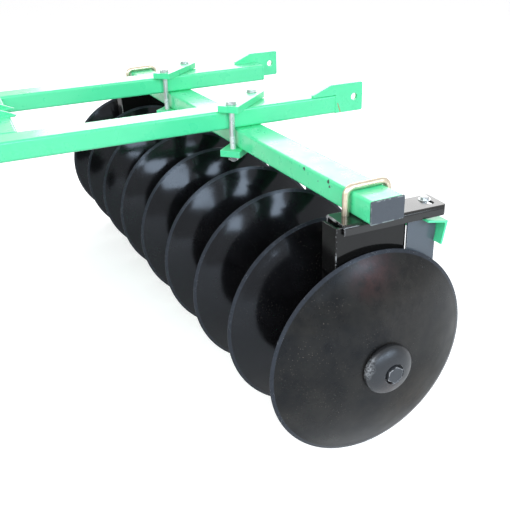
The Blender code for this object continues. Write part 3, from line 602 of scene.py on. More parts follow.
# Chips are (place, radius), rust is (start, end, width), stains are (centre, inner, outer radius)
CHIPS = (
    ((-0.676, -0.595, 0.626), 0.0080),
    ((-0.738, -0.599, 0.614), 0.0030),
    ((-0.781, -0.600, 0.626), 0.0105),
    ((-0.787, -0.601, 0.616), 0.0060),
    ((0.302, 0.310, 0.668), 0.0080),
    ((-0.302, 0.520, 0.660), 0.0070),
    ((0.302, -0.720, 0.652), 0.0070),
)
RUST = (((-0.302, -0.893, 0.660), (-0.302, -0.902, 0.634), 0.0018),)
NEAR_MARKS = (
    ("haze", (on_gang(-0.015, 0.010, 0.215), 0.015, 0.075), (0.046, 0.020, 0.018)),
    ("haze", (on_gang(-0.040, -0.060, 0.120), 0.020, 0.130), (0.030, 0.026, 0.022)),
    ("haze", (on_gang(-0.030, -0.100, -0.130), 0.020, 0.110), (0.032, 0.026, 0.020)),
    ("scratch", (on_gang(-0.018, -0.094, 0.190), on_gang(-0.013, -0.125, 0.192), 0.0012), RUBBED_IRON),
    ("scratch", (on_gang(-0.022, -0.060, 0.196), on_gang(-0.021, -0.078, 0.193), 0.0009), (0.20, 0.20, 0.21)),
)
NEAR_DULL = (on_gang(-0.060, -0.130, -0.110), 0.06, 0.24)
BELL_MARKS = (
    ((on_gang(-0.0750, 0.054, 0.020), 0.003, 0.017), (0.30, 0.31, 0.32)),
    ((on_gang(-0.0740, 0.057, 0.004), 0.002, 0.013), (0.26, 0.27, 0.28)),
    ((on_gang(-0.0760, 0.046, 0.038), 0.002, 0.012), (0.16, 0.17, 0.18)),
    ((on_gang(-0.092, 0.006, -0.030), 0.010, 0.036), (0.040, 0.026, 0.022)),
)

GREEN = green_enamel("green_enamel", CHIPS, RUST)
DISC = black_disc("disc_black", (0.0035, 0.0035, 0.0040), (0.007, 0.007, 0.008), (0.10, 0.19), 0.27)
DISC_NEAR = black_disc("disc_near", (0.0045, 0.0045, 0.0045), (0.017, 0.0155, 0.013), (0.20, 0.34), 0.20,
                       0.85, NEAR_MARKS, NEAR_DULL)
DISC_BEVEL = bevel_steel("disc_bevel")
HANGER = black_steel("hanger_black", (0.010, 0.010, 0.010), (0.016, 0.015, 0.014), 0.5, 0.35)
# The web and the front flange are the arm's black paint in darker copies: painted shade, darkest on the front
# flange.
WEB_PAINTED_SHADE = black_steel("web_black_painted_shade", (0.0045, 0.0045, 0.0045), (0.009, 0.0085, 0.008), 0.26, 0.28)
FLANGE_PAINTED_SHADE = black_steel("flange_black_painted_shade", (0.0035, 0.0035, 0.0038), (0.006, 0.0055, 0.0055), 0.04, 0.35)
# The scraper blades are black paint; their bluish grey base colour is a painted reflection of the sky.
BLADE_PAINTED_SKY = black_steel("scraper_black_painted_sky", (0.080, 0.094, 0.112), (0.105, 0.122, 0.144), 0.35, 0.25)
CAST = cast_iron("cast_black", (0.008, 0.008, 0.009), (0.018, 0.018, 0.019))
BELL = cast_iron("bell_black", (0.006, 0.006, 0.0065), (0.013, 0.013, 0.014), 0.6, (0.34, 0.46), BELL_MARKS, 0.60)
FORGED = cast_iron("forged_head", (0.026, 0.028, 0.032), (0.060, 0.064, 0.070), 1.0, (0.30, 0.46),
                   worn=(0.36, 0.48))
CAP = plastic("cap_plastic")
ZINC = plated("zinc", (0.70, 0.72, 0.73), (0.48, 0.50, 0.51), 0.9, 0.7)
THREAD = plated("zinc_thread", (0.84, 0.86, 0.87), (0.58, 0.60, 0.61), 0.52, 0.7)
YELLOW = plated("yellow_zinc", (0.78, 0.69, 0.55), (0.58, 0.48, 0.35), 0.85, 0.9)


# Discs
def bowl(radius):
    return BOWL_RADIUS - math.sqrt(BOWL_RADIUS**2 - max(radius**2 - DISC_FLAT**2, 0)) - DISC_DISH


def rim_at(angle):
    """The notched disc's radius at this angle. A tooth stands at the bottom."""
    off = (angle + PI / 2) % NOTCH_PITCH - NOTCH_PITCH / 2
    across = NOTCH_CENTRE * math.sin(off)
    if abs(across) >= NOTCH_RADIUS:
        return DISC_RADIUS
    return min(DISC_RADIUS, NOTCH_CENTRE * math.cos(off) - math.sqrt(NOTCH_RADIUS**2 - across**2))


def disc_angles(notched):
    """Where the rim has its points, so that each notch's two corners are among them."""
    if not notched:
        return [2 * PI * k / 160 for k in range(160)]
    angles = []
    cosine = (DISC_RADIUS**2 + NOTCH_CENTRE**2 - NOTCH_RADIUS**2) / (2 * DISC_RADIUS * NOTCH_CENTRE)
    cusp = math.acos(cosine)
    rest = NOTCH_PITCH - 2 * cusp
    for k in range(NOTCH_COUNT):
        middle = -PI / 2 + (k + 0.5) * NOTCH_PITCH
        angles += [middle - cusp + 2 * cusp * i / 12 for i in range(13)]
        angles += [middle + cusp + rest * i / 6 for i in range(1, 6)]
    return angles


def disc_mesh(notched):
    """A dished disc: convex side towards -x, a ground bevel round the convex side of its rim."""
    inner = [DISC_HOLE, DISC_FLAT * 0.8, DISC_FLAT, DISC_FLAT * 1.06]
    steps = 14
    bevel_row = len(inner) + steps - 1
    work = bmesh.new()
    rows = []
    for angle in disc_angles(notched):
        rim = rim_at(angle) if notched else DISC_RADIUS
        start = rim - DISC_BEVEL_WIDTH
        radii = inner + [inner[-1] + (start - inner[-1]) * i / steps for i in range(1, steps + 1)]
        lip = min(bowl(rim) + DISC_THICKNESS, -GAP)
        deepest = bowl(rim) + DISC_THICKNESS - GAP
        profile = [(bowl(r), r) for r in radii]
        profile += [(lip - 0.0011, rim - 0.0003), (lip, rim)]
        profile += [(min(bowl(r) + DISC_THICKNESS, deepest), r) for r in radii[::-1]]
        rows.append([work.verts.new((x, r * math.cos(angle), r * math.sin(angle))) for x, r in profile])
    size = len(rows[0])
    for first, second in zip(rows, rows[1:] + rows[:1]):
        for k in range(size):
            n = (k + 1) % size
            face = work.faces.new((first[k], first[n], second[n], second[k]))
            face.material_index = 1 if k in (bevel_row, bevel_row + 1) else 0
    bmesh.ops.recalc_face_normals(work, faces=work.faces)
    return new_mesh(work, "disc")


def build_discs(name, facing):
    matrix = gang_matrix(facing)
    shape = disc_mesh(facing < 0)
    for index in range(COUNT):
        turn = turned(0 if facing < 0 else index * 0.7, "X")
        mesh = moved(shape.copy(), matrix @ at(index * SPACING - HALF_GANG, 0, 0) @ turn)
        paint = DISC_NEAR if facing > 0 and index == 0 else DISC
        node = f"{name}_disc_{index + 1}"
        show(f"{node}_fine", mesh, [paint, DISC_BEVEL], 25, f"{name}_gang", node)
    bpy.data.meshes.remove(shape)


# Axle, spools and bells
def hub(index):
    return index * SPACING - HALF_GANG - DISC_DISH


def spool(start, end, waist):
    """One casting between two discs: a waist that flares into a flange at each end."""
    thick, cone = 0.010, 0.030
    left = [(start, SHAFT_R), (start, SPOOL_FLANGE_R - 0.0015), (start + 0.0015, SPOOL_FLANGE_R)]
    left += [(start + thick - 0.002, SPOOL_FLANGE_R), (start + thick, SPOOL_FLANGE_R - 0.002)]
    for i in range(1, 10):
        t = i / 10
        flare = (SPOOL_FLANGE_R - 0.006 - waist) * (1 - t) ** 2.4
        left.append((start + thick + cone * t, waist + flare))
    left.append((start + thick + cone, waist))
    right = [(start + end - x, r) for x, r in left[::-1]]
    return lathe(left + right, 64)


def build_axle(name, facing):
    matrix, body = gang_matrix(facing), f"{name}_gang"
    journal, barrel = 0.021, 0.029
    iron = []
    for index in range(COUNT - 1):
        start = hub(index) + DISC_THICKNESS + GAP
        waist = journal if index in (0, COUNT - 2) else barrel
        iron.append(spool(start, hub(index + 1) - GAP, waist))
    head = hub(0) - GAP - 0.022
    last = hub(COUNT - 1) + DISC_THICKNESS + 2 * GAP + 0.018
    bar = [(head - 0.008, 0), (head - 0.008, SHAFT_R), (last + 0.028, SHAFT_R), (last + 0.028, 0)]
    iron.append(lathe(bar, 32))
    iron.append(hexagon(0.046, 0.026, (last + 0.0133, 0, 0), "x", 0, 0.0020))
    iron.append(moved(threaded(SHAFT_R, 0.0288, 0.003), at(last + 0.0002, 0, 0) @ turned(PI / 2, "Y")))
    forged = hexagon(0.036, 0.0130, (head - 0.0068, 0, 0), "x", PI / 5, 0.0014)
    piece(f"{name}_axle", [(CAST, iron), (FORGED, [forged])], matrix, body)

    outer, recess = 0.060, 0.025
    height, edge, deep = 0.031, 0.006, 0.009
    profile = [(0, DISC_HOLE), (0, DISC_FLAT), (bowl(outer) - bowl(DISC_FLAT) - GAP, outer - 0.001)]
    profile += [(-0.002, outer), (-edge + 0.002, outer)]
    span = math.acos(recess / outer)
    for i in range(1, 17):
        a = span * i / 16
        dome = (height - edge) * math.sin(a) / math.sin(span)
        profile.append((-edge - dome, outer * math.cos(a)))
    profile += [(-height + 0.0010, recess - 0.0012), (-height + deep, recess - 0.002)]
    profile += [(-height + deep, DISC_HOLE)]
    bell = moved(lathe(profile, 128), at(hub(0) - GAP, 0, 0))
    piece(f"{name}_end_bell", [(BELL, [bell])], matrix, body)

    wide, nut, thick, fall = 0.050, 0.0325, 0.018, 0.012
    profile = [(0, DISC_HOLE), (thick, DISC_HOLE), (thick, nut)]
    for i in range(1, 9):
        a = i / 8 * PI / 2
        profile.append((thick - fall * (1 - math.cos(a)), nut + (wide - nut) * math.sin(a)))
    profile += [(0.0015, wide), (0, wide - 0.0015)]
    ring = moved(lathe(profile, 96), at(hub(COUNT - 1) + DISC_THICKNESS + GAP, 0, 0))
    piece(f"{name}_end_washer", [(CAST, [ring])], matrix, body)


# Tubes
def tube(length, axis, centre):
    outer = rounded_box(TUBE_W, TUBE_H, TUBE_CORNER)
    bore = rounded_box(TUBE_W - 2 * TUBE_WALL, TUBE_H - 2 * TUBE_WALL, TUBE_CORNER - TUBE_WALL)
    return plate([outer, bore], length, "yz" if axis == "x" else "xz", centre, 0.0005)


def build_beam(name, facing):
    matrix = gang_matrix(facing)
    first, last = HANGER_X
    length = last - first + 2 * BEAM_OVERHANG
    middle = (first + last) / 2
    z = BEAM_BOTTOM + TUBE_H / 2
    piece(f"{name}_beam", [(GREEN, [tube(length, "x", (middle, -BEAM_BACK, z))])], matrix)
    lip = 0.0096
    for side, label in ((-1, "left"), (1, "right")):
        local = side * facing
        face = plate([rounded_box(TUBE_W, TUBE_H, 0.0030)], 0.0040, "yz", (GAP + 0.0020, 0, 0), 0.0012)
        plug = plate([rounded_box(TUBE_W - lip, TUBE_H - lip, 0.003)], 0.0160, "yz", (-0.0057, 0, 0), 0.0005)
        cap = moved(joined([face, plug]), Matrix.Scale(local, 4, (1, 0, 0)))
        moved(cap, at(middle + local * length / 2, -BEAM_BACK, z))
        piece(f"{name}_beam_cap_{label}", [(CAP, [cap])], matrix, name=f"{name}_cap_{label}_fine")


# Hangers
def legs():
    """Where the U-bolt's legs stand, before and behind the beam."""
    reach = TUBE_W / 2 + 0.003 + BOLT_R
    return (-BEAM_BACK + reach, -BEAM_BACK - reach)


def channel_outline(width, depth, thick, bend):
    """An inverted channel, its top at v = 0 and its flanges down, centred on u = 0."""
    half = width / 2
    inner_bend = max(bend - thick, 0.001)
    left, right = (-half + bend, -bend), (half - bend, -bend)
    outer = [(-half, -depth), *arc(left, bend, PI, PI / 2, 6)]
    outer += [*arc(right, bend, PI / 2, 0, 6), (half, -depth)]
    inner = [(half - thick, -depth), *arc(right, inner_bend, 0, PI / 2, 4)]
    inner += [*arc(left, inner_bend, PI / 2, PI, 4), (-half + thick, -depth)]
    return outer + inner


ARM_FRONT, ARM_REAR, ARM_SLOT = 0.066, -0.189, -0.163
ARM_TURN = at(0, ARM_FRONT, 0) @ turned(-ANGLE, "Z") @ at(0, -ARM_FRONT, 0)
UBOLT_X = 0.011


def hanger_arm(top):
    """The arm, turned on its front end: a channel with the scraper's slot and round rear corners."""
    half, corner_r, past = HANGER_DEPTH / 2, 0.014, 0.002
    channel = channel_outline(HANGER_DEPTH, ARM_DEPTH, ARM_THICK, 0.008)
    arm = plate([channel], ARM_FRONT - ARM_REAR, "xz", (0, (ARM_FRONT + ARM_REAR) / 2, top), 0.0007)
    cutters = [plate([slot_outline((0, ARM_SLOT), 0.040, 0.018)], 0.03, "xy", (0, 0, top), 0)]
    for y in legs():
        leg = ARM_TURN.inverted() @ Vector((UBOLT_X, y, 0))
        cutters.append(plate([circle((leg.x, leg.y), 0.0176, 32)], 0.03, "xy", (0, 0, top), 0))
    for side in (1, -1):
        corner = [(side * (half + past), ARM_REAR - past), (side * (half - 0.015), ARM_REAR - past)]
        centre = (side * (half - corner_r), ARM_REAR + corner_r)
        corner += arc(centre, corner_r, -PI / 2, -PI / 2 + side * PI / 2, 8)
        corner += [(side * (half + past), ARM_REAR + corner_r)]
        cutters.append(plate([corner], 0.06, "xy", (0, 0, top), 0))
    return moved(cut(arm, cutters), ARM_TURN)


def build_hanger(name, facing, label, centre):
    matrix = gang_matrix(facing) @ at(centre, 0, 0)
    top = BEAM_BOTTOM - GAP
    under = top - ARM_THICK
    near = -HANGER_DEPTH / 2 + 0.008
    far = near + 0.054
    web_front, web_rear, low = 0.084, -0.093, 0.175
    thick, bend, flange = 0.008, 0.0024, 0.006
    clear, boss = 0.0222, 0.056

    # The upper web: in plan, a flat near face that folds into a flange along the front
    inside = web_front - flange
    fold = [(near, web_rear), (near, web_front - bend)]
    fold += [*arc((near + bend, web_front - bend), bend, PI, PI / 2, 7), (near + bend, inside)]
    fold += [(near + thick, inside), (near + thick, web_rear)]
    upper = plate([fold], under - low, "xy", (0, 0, (under + low) / 2), 0.0006)
    start = near + bend + 0.0001
    strip = [(start, web_front), (start, inside), (far, inside), (far, web_front)]
    folded = [plate([strip], under - low, "xy", (0, 0, (under + low) / 2), 0.0002)]
    # The lower web round the bearing, with the flanges' tapering ends
    side = [(web_front - 0.0015, low + 0.004), (web_rear, low + 0.004), (web_rear, low)]
    side += [*arc((0, 0), boss, PI, 2 * PI, 40), (web_front - 0.0015, low)]
    lower = plate([side, circle((0, 0), 0.0444, 48)], thick, "yz", (near + thick / 2, 0, 0), 0.0008)
    meshes = [upper, lower]
    taper = low + (far - near) / 2
    skirt = [(near + 0.003, low - 0.004), (far, taper), (far, taper + 0.006), (near + 0.003, taper + 0.006)]
    folded.append(plate([skirt], flange, "xz", (0, web_front - flange / 2, 0), 0.0006))
    rear = [(near + 0.003, low - 0.004), (far, taper), (far, 0.288), (near + 0.003, 0.288)]
    meshes.append(plate([softened(rear, 0.006)], flange, "xz", (0, web_rear + flange / 2, 0), 0.0006))
    profile = [(near - 0.0005, clear), (near - 0.0005, boss - 0.006), (near + 0.001, boss - 0.0045)]
    profile += [(near + 0.012, boss - 0.003), (far - 0.004, boss - 0.006), (far - 0.001, boss - 0.008)]
    profile += [(far, boss - 0.012), (far, clear + 0.006), (far - 0.003, clear + 0.004), (far - 0.003, clear)]
    meshes.append(lathe(profile, 72))

    # Bearing seal, grease nipple and the welds that hold the web to the arm and the boss
    seal = [(far - 0.006, clear), (far - 0.0012, clear + 0.001)]
    seal += [(far - 0.0012, clear + 0.013), (far - 0.006, clear + 0.013)]
    nipple = [(0, 0), (0, 0.0045), (0.004, 0.0045), (0.005, 0.0028), (0.008, 0.0028)]
    nipple += [(0.0095, 0.0034), (0.012, 0.0022), (0.012, 0)]
    fitting = moved(lathe(nipple, 20, "z"), at(0.006, 0, 0) @ turned(PI / 2, "X") @ at(0, 0, 0.050))
    welds = [bead((near, web_rear + 0.006, under - 0.0005), (near, 0.060, under - 0.0005), 0.0030, 1)]
    welds += beads_y([(near + thick, under)], web_rear + 0.004, 0.060, 0.0035, 2)
    ring = [(x, z, y) for x, y, z in ring_path(near + thick, 0.052, 0, 150)]
    welds.append(rod(ring, 0.0030, 8, 0.14))

    # Bolt that holds the scraper angle in the arm's slot
    bolt = [washer(0.0140, 0.0065, 0.0018), dished_head(0.017, 0.0062, (0, 0, 0.0016), 3)]
    bolt.append(moved(threaded(0.0058, 0.0330), DOWNWARDS))
    bolt = [moved(part, ARM_TURN @ at(0.009, ARM_SLOT, top)) for part in bolt]
    # The web and flange materials darken the one black paint as painted shade.
    groups = [(HANGER, [hanger_arm(top)] + welds), (WEB_PAINTED_SHADE, meshes), (FLANGE_PAINTED_SHADE, folded)]
    groups += [(CAP, [lathe(seal, 64)]), (YELLOW, [fitting]), (ZINC, bolt)]
    piece(f"{name}_hanger_{label}", groups, matrix)

    # U-bolt over the beam, its nuts under the arm
    leg_front, leg_rear = legs()
    crest = BEAM_TOP + GAP + BOLT_R
    bend = 0.018
    shoulder, foot = crest - bend, under - 0.0022
    path = [(leg_front, foot), (leg_front, shoulder)]
    path += arc((leg_front - bend, shoulder), bend, 0, PI / 2, 10)
    path += arc((leg_rear + bend, shoulder), bend, PI / 2, PI, 10)
    path += [(leg_rear, shoulder), (leg_rear, foot)]
    bolt = [rod([(UBOLT_X, y, z) for y, z in path], BOLT_R, 28)]
    for y in (leg_front, leg_rear):
        bolt.append(moved(threaded(BOLT_R, 0.0262), at(UBOLT_X, y, foot) @ DOWNWARDS))
        bolt.append(hexagon(HEX_FLATS, NUT_HEIGHT, (UBOLT_X, y, foot - NUT_HEIGHT / 2), "z", y * 9))
        bolt.append(washer(WASHER_OUTER, WASHER_INNER, 0.002, (UBOLT_X, y, foot - 0.0001)))
    piece(f"{name}_ubolt_{label}", [(YELLOW, bolt)], matrix)


# Scrapers
def build_scrapers(name, facing):
    top = BEAM_BOTTOM - 2 * GAP - ARM_DEPTH
    leg, thick, root, tilt = 0.055, 0.005, 0.005, math.radians(12)
    cos, sin = math.cos(tilt), math.sin(tilt)
    drop = leg * sin
    rear_edge = -0.184
    section = [(0, 0), (leg, 0), (leg, -thick)]
    section += arc((thick + root, -thick - root), root, PI / 2, PI, 6)
    section += [(thick, -leg), (0, -leg)]
    outline = [(rear_edge + u * cos - v * sin, top - drop + u * sin + v * cos) for u, v in section]
    bar = plate([outline], 2 * HALF_GANG + 0.032, "yz")

    # Each blade: flat under the angle's sloping flange, then a tip bent away from the disc
    front, rear = -0.094, -0.171
    lip = rear_edge + leg * cos
    seat = top - drop - thick / cos - 0.0002
    high_end, low_end = seat + drop - 0.0005, seat + (rear - rear_edge) * math.tan(tilt)
    low = low_end + 0.003 - 0.160
    bend_angle, tip, steps = math.radians(24), 0.060, (0.15, 0.3, 0.5, 0.75, 1.0)
    reach, fall = tip * math.sin(bend_angle), tip * math.cos(bend_angle)
    foot_turn = at(0, rear_edge + 0.006, top - drop - thick * cos - 0.0033) @ turned(tilt, "X")
    bolt_y, bolt_z = rear_edge + 0.030 * cos, top - drop + 0.030 * sin
    button = [(0, 0), (0, 0.0105), (0.0015, 0.0105), (0.0040, 0.0070), (0.0052, 0.0030), (0.0055, 0)]
    blades, feet, bolts = [], [], []
    for index in range(COUNT):
        x = index * SPACING - HALF_GANG + 0.008
        side = [(front, high_end), (lip, high_end), (rear, low_end), (rear, low), (front, low)]
        blades.append(plate([side], thick, "yz", (x + thick / 2, 0, 0), 0.0006))
        strip = [(x, low + 0.001)] + [(x - reach * t**1.4, low - fall * t) for t in steps]
        end_x, end_z = x + thick - reach, low - fall
        strip += [(end_x + 0.0012, end_z + 0.004)]
        strip += [(x + thick - reach * t**1.4, low - fall * t) for t in steps[-2::-1]]
        strip += [(x + thick, low + 0.001)]
        middle = (0, (front + rear) / 2, 0)
        blades.append(plate([strip], front - rear - 0.0006, "xz", middle, 0.0006))
        # Foot of the blade: a lug turned back under the angle's flange, with two bolts through it
        foot = [(x + 0.001, 0), (x + 0.052, 0), (x + 0.052, 0.046), (x + 0.001, 0.046)]
        feet.append(moved(plate([softened(foot, 0.004)], thick, "xy", (0, 0, 0), 0.0006), foot_turn))
        for dx in (0.018, 0.040):
            stud = moved(threaded(0.005, 0.010), at(0, 0, -0.0095) @ DOWNWARDS)
            nut = hexagon(0.017, 0.008, (0, 0, -0.0155), "z", dx * 30, 0.0008)
            place = at(x + dx, bolt_y, bolt_z) @ turned(tilt, "X")
            bolts += [moved(part, place) for part in (lathe(button, 28, "z"), nut, stud)]
    # The blades' grey is a painted reflection of the sky on black paint.
    groups = [(GREEN, [bar]), (BLADE_PAINTED_SKY, blades + feet), (ZINC, bolts)]
    piece(f"{name}_scrapers", groups, gang_matrix(facing))


# Clamps
def build_clamps(name, facing):
    reach = TUBE_W / 2 + 0.002 + BOLT_R
    half = reach * math.sqrt(2) + 0.024
    upper, lower = RAIL_TOP + GAP, AXLE_HEIGHT + BEAM_BOTTOM - GAP
    crown, foot = upper + CLAMP_THICK, lower - CLAMP_THICK
    thread_top = lower + 0.036
    wide = CLAMP_HALF_WIDTH
    outline = softened([(-half, -wide), (half, -wide), (half, wide), (-half, wide)], 0.004)
    shank = [(0, 0), (0, BOLT_R), (upper - lower - 0.034, BOLT_R), (upper - lower - 0.034, 0)]
    for side, label in ((-1, "left"), (1, "right")):
        x = side * RAIL_X
        along = (x - facing * -SHIFT) / math.cos(ANGLE)
        y = facing * -SEPARATION / 2 + along * math.sin(facing * ANGLE) - BEAM_BACK / math.cos(ANGLE)
        bars, bolts, threads = [], [], []
        for z in (upper + CLAMP_THICK / 2, lower - CLAMP_THICK / 2):
            bars.append(moved(plate([outline], CLAMP_THICK, "xy", (0, 0, 0), 0.0010),
                              at(0, 0, z) @ turned(-facing * PI / 4, "Z")))
        for s in (1, -1):
            place = at(-s * reach, s * facing * reach, 0)
            stud = threaded(BOLT_R * 1.04, 0.0365 + CLAMP_THICK + 0.0165)
            threads.append(moved(stud, place @ at(0, 0, thread_top + 0.0002) @ DOWNWARDS))
            parts = [moved(lathe(shank, 32, "z"), at(0, 0, thread_top))]
            parts += [dished_head(HEX_FLATS, HEAD_HEIGHT, (0, 0, crown), s + 2)]
            parts += [washer(WASHER_OUTER, WASHER_INNER, 0.0022, (0, 0, crown))]
            parts += [hexagon(HEX_FLATS, NUT_HEIGHT, (0, 0, foot - 0.0069), "z", 0.3 * s)]
            parts += [washer(WASHER_OUTER, WASHER_INNER, 0.0020, (0, 0, foot - 0.0020))]
            bolts += [moved(part, place) for part in parts]
        groups = [(GREEN, bars), (ZINC, bolts), (THREAD, threads)]
        piece(f"{name}_clamp_{label}", groups, ROOT @ at(x, y, 0))


# Frame
def build_rail(side, label):
    x = side * RAIL_X
    low, high = RAIL_BOTTOM + 0.006, RAIL_TOP - 0.006
    end, inner = RAIL_FRONT - 0.0005, x - side * TUBE_W / 2
    rail = tube(RAIL_FRONT - RAIL_REAR, "y", (x, (RAIL_FRONT + RAIL_REAR) / 2, RAIL_MIDDLE))
    welds = beads_x([(end, RAIL_TOP - 0.0005)], x - side * 0.040, x + side * 0.040, BEAD_R, 5)
    welds += beads_z([(x + side * 0.0415, end)], low, high, BEAD_R, 6)
    welds += beads_z([(inner, MIDDLE_Y + dy) for dy in (-TUBE_W / 2, TUBE_W / 2)], low, high, BEAD_R, 7)
    top_seam = [(inner + side * 0.001, RAIL_TOP - 0.0006)]
    welds += beads_y(top_seam, MIDDLE_Y - 0.036, MIDDLE_Y + 0.036, 0.0026, 8)
    piece(f"rail_{label}", [(GREEN, [rail] + welds)], ROOT)


def build_rear_lug(side, label):
    end = RAIL_REAR - GAP
    back, crest, step, corner = end - 0.088, RAIL_TOP + 0.030, end + 0.072, 0.006
    x = side * (RAIL_X + TUBE_W / 2 - 0.006)
    outline = [(end, RAIL_BOTTOM), (end, RAIL_TOP + GAP), (step, RAIL_TOP + GAP)]
    outline += [(step, RAIL_TOP + GAP + 0.006), (end + 0.015, crest)]
    outline += arc((back + corner, crest - corner), corner, PI / 2, PI, 6)
    outline += arc((back + corner, RAIL_BOTTOM + corner), corner, PI, 1.5 * PI, 6)
    hole = circle((back + 0.027, RAIL_BOTTOM + 0.041), 0.020, 40)
    lug = plate([outline, hole], LUG_THICK, "yz", (x, 0, 0), 0.0009)
    box = rounded_box(TUBE_W - 2 * GAP, TUBE_H - 2 * GAP, TUBE_CORNER)
    cover = plate([box], 0.006, "xz", (side * RAIL_X, end - 0.003, RAIL_MIDDLE), 0.0007)
    low, inner = RAIL_BOTTOM + 0.004, x - side * 0.006
    welds = beads_y([(inner, RAIL_TOP + 0.0008)], end + 0.006, end + 0.070, 0.0030, 9)
    welds += beads_z([(x + side * 0.0056, end + 0.0005)], low, RAIL_TOP - 0.002, 0.0022, 10)
    welds += beads_z([(inner - side * 0.0002, end - 0.0065)], low, RAIL_TOP - 0.004, BEAD_R, 11)
    piece(f"rear_lug_{label}", [(GREEN, [lug, cover] + welds)], ROOT)


def build_lower_link(side, label):
    half_w, half_h = TUBE_W / 2, TUBE_H / 2
    back, crest = HEAD_Y - half_w, RAIL_MIDDLE + half_h
    outline = [(HEAD_Y + half_w, crest), (back + 0.004, crest), (back, crest - 0.004)]
    outline += [(back, RAIL_MIDDLE - half_h)]
    outline += arc((LINK_Y, LINK_Z), 0.040, -0.70 * PI, 0.25 * PI, 36)
    centre = (side * (HEAD_W / 2 + GAP + LUG_THICK / 2), 0, 0)
    lug = plate([outline, circle((LINK_Y, LINK_Z), 0.0240, 40)], LUG_THICK, "yz", centre, 0.0009)
    inside = side * HEAD_W / 2
    uprights = [(inside, HEAD_Y + dy) for dy in (-half_w, half_w)]
    welds = beads_z(uprights, RAIL_BOTTOM + 0.006, RAIL_TOP - 0.006, BEAD_R, 12)
    flats = [(inside, z) for z in (RAIL_TOP - 0.0008, RAIL_BOTTOM + 0.0008)]
    welds += beads_y(flats, HEAD_Y - 0.036, HEAD_Y + 0.036, BEAD_R, 13)
    piece(f"lower_link_lug_{label}", [(GREEN, [lug] + welds)], ROOT)

    # Stub pin: collar, shank with a linch pin and its ring, and the nut inside the lug
    start = HEAD_W / 2 + 2 * GAP + LUG_THICK
    profile = [(0, 0), (0, 0.0255), (0.0006, 0.026), (0.0084, 0.026), (0.009, 0.0254)]
    profile += [(0.009, 0.0145), (0.010, LINK_PIN_R), (0.098, LINK_PIN_R), (0.101, 0.0134)]
    profile += [(0.104, 0.0112), (0.104, 0)]
    pin = [lathe(profile, 64)]
    pin.append(moved(threaded(0.0112, 0.0340, 0.0025), at(0.0015, 0, 0) @ turned(-PI / 2, "Y")))
    pin.append(hexagon(0.041, 0.0170, (-LUG_THICK - 2 * GAP - 0.0085, 0, 0), "x", 0.2, 0.0014))
    pin.append(rod([(0.0915, 0, -0.0185), (0.0915, 0, 0.0185)], 0.0042, 16))
    pin.append(rod(ring_path(0.0975, 0.016, 0.0015), 0.0016, 10))
    place = at(side * start, LINK_Y, LINK_Z) @ Matrix.Scale(side, 4, (1, 0, 0))
    piece(f"lower_link_pin_{label}", [(ZINC, [moved(joined(pin), place)])], ROOT)


def build_mast(side, label):
    base, top = RAIL_TOP + GAP, MAST_TOP + 0.034
    knee = top - 0.150
    foot_far, slot_far = MAST_FOOT + MAST_THICK, MAST_SLOT + MAST_THICK
    outline = [(MAST_FOOT, base), (foot_far, base), (slot_far, knee), (slot_far, top)]
    outline += [(MAST_SLOT, top), (MAST_SLOT, knee)]
    bar = plate([[(side * u, v) for u, v in outline]], 0.070, "xz", (0, HEAD_Y, 0), 0.0010)
    drill = plate([circle((HEAD_Y, MAST_TOP), 0.0266, 40)], 0.20, "yz", (0, 0, 0), 0)
    mesh = cut(bar, [drill])
    welds = beads_y([(side * MAST_FOOT, base)], HEAD_Y - 0.034, HEAD_Y + 0.034, 0.0034, 14)
    welds += beads_y([(side * foot_far, base)], HEAD_Y - 0.034, HEAD_Y + 0.034, 0.0034, 15)
    piece(f"mast_{label}", [(GREEN, [mesh] + welds)], ROOT)


def build_brace(side, label):
    """The strap from the mast back to the middle tube, round at its bolted upper end."""
    half, half_thick = 0.025, 0.005
    x = side * (MAST_SLOT + MAST_THICK + GAP + half_thick)
    head = Vector((HEAD_Y, MAST_TOP - 0.062))
    low = Vector((MIDDLE_Y, RAIL_TOP + GAP))
    run = (low - head).normalized()
    across = Vector((-run.y, run.x)) * half
    angle = math.atan2(across.y, across.x)
    slant = half / abs(run.y)
    lean = math.copysign(slant, across.x)
    outline = arc(head, half, angle + PI, angle, 24)
    outline += [(low.x + lean, low.y), (low.x - lean, low.y)]
    strap = plate([outline], 2 * half_thick, "yz", (x, 0, 0))
    seams = [(x + s * half_thick, low.y) for s in (1, -1)]
    welds = beads_y(seams, low.x - slant * 0.9, low.x + slant * 0.9, 0.0030, 16)
    outwards = at(x + side * half_thick, head.x, head.y) @ turned(side * PI / 2, "Y")
    bolt = moved(dished_head(HEX_FLATS, HEAD_HEIGHT, (0, 0, 0), 1), outwards)
    groups = [(GREEN, [strap] + welds), (ZINC, [bolt])]
    piece(f"mast_brace_{label}", groups, ROOT)


def build_frame():
    for side, label in ((-1, "left"), (1, "right")):
        for build in (build_rail, build_rear_lug, build_lower_link, build_mast, build_brace):
            build(side, label)
    head = tube(HEAD_W, "x", (0, HEAD_Y, RAIL_MIDDLE))
    piece("headstock_tube", [(GREEN, [head])], ROOT)
    cross = tube(2 * RAIL_X - TUBE_W - 2 * GAP, "x", (0, MIDDLE_Y, RAIL_MIDDLE))
    piece("middle_tube", [(GREEN, [cross])], ROOT)

    reach, radius, head_r = MAST_SLOT + MAST_THICK + GAP, 0.0125, 0.0199
    profile = [(-reach - 0.008, 0), (-reach - 0.008, 0.018), (-reach - 0.0065, head_r)]
    profile += [(-reach, head_r), (-reach, radius), (reach + 0.027, radius)]
    profile += [(reach + 0.0298, 0.0095), (reach + 0.0298, 0)]
    pin = [lathe(profile, 56), rod([(reach + 0.018, 0, z) for z in (-0.017, 0.017)], 0.0036, 16)]
    pin.append(rod(ring_path(reach + 0.0235, 0.015, 0.001), 0.0016, 10))
    mesh = moved(joined(pin), at(0, HEAD_Y, MAST_TOP))
    piece("top_link_pin", [(ZINC, [mesh])], ROOT)


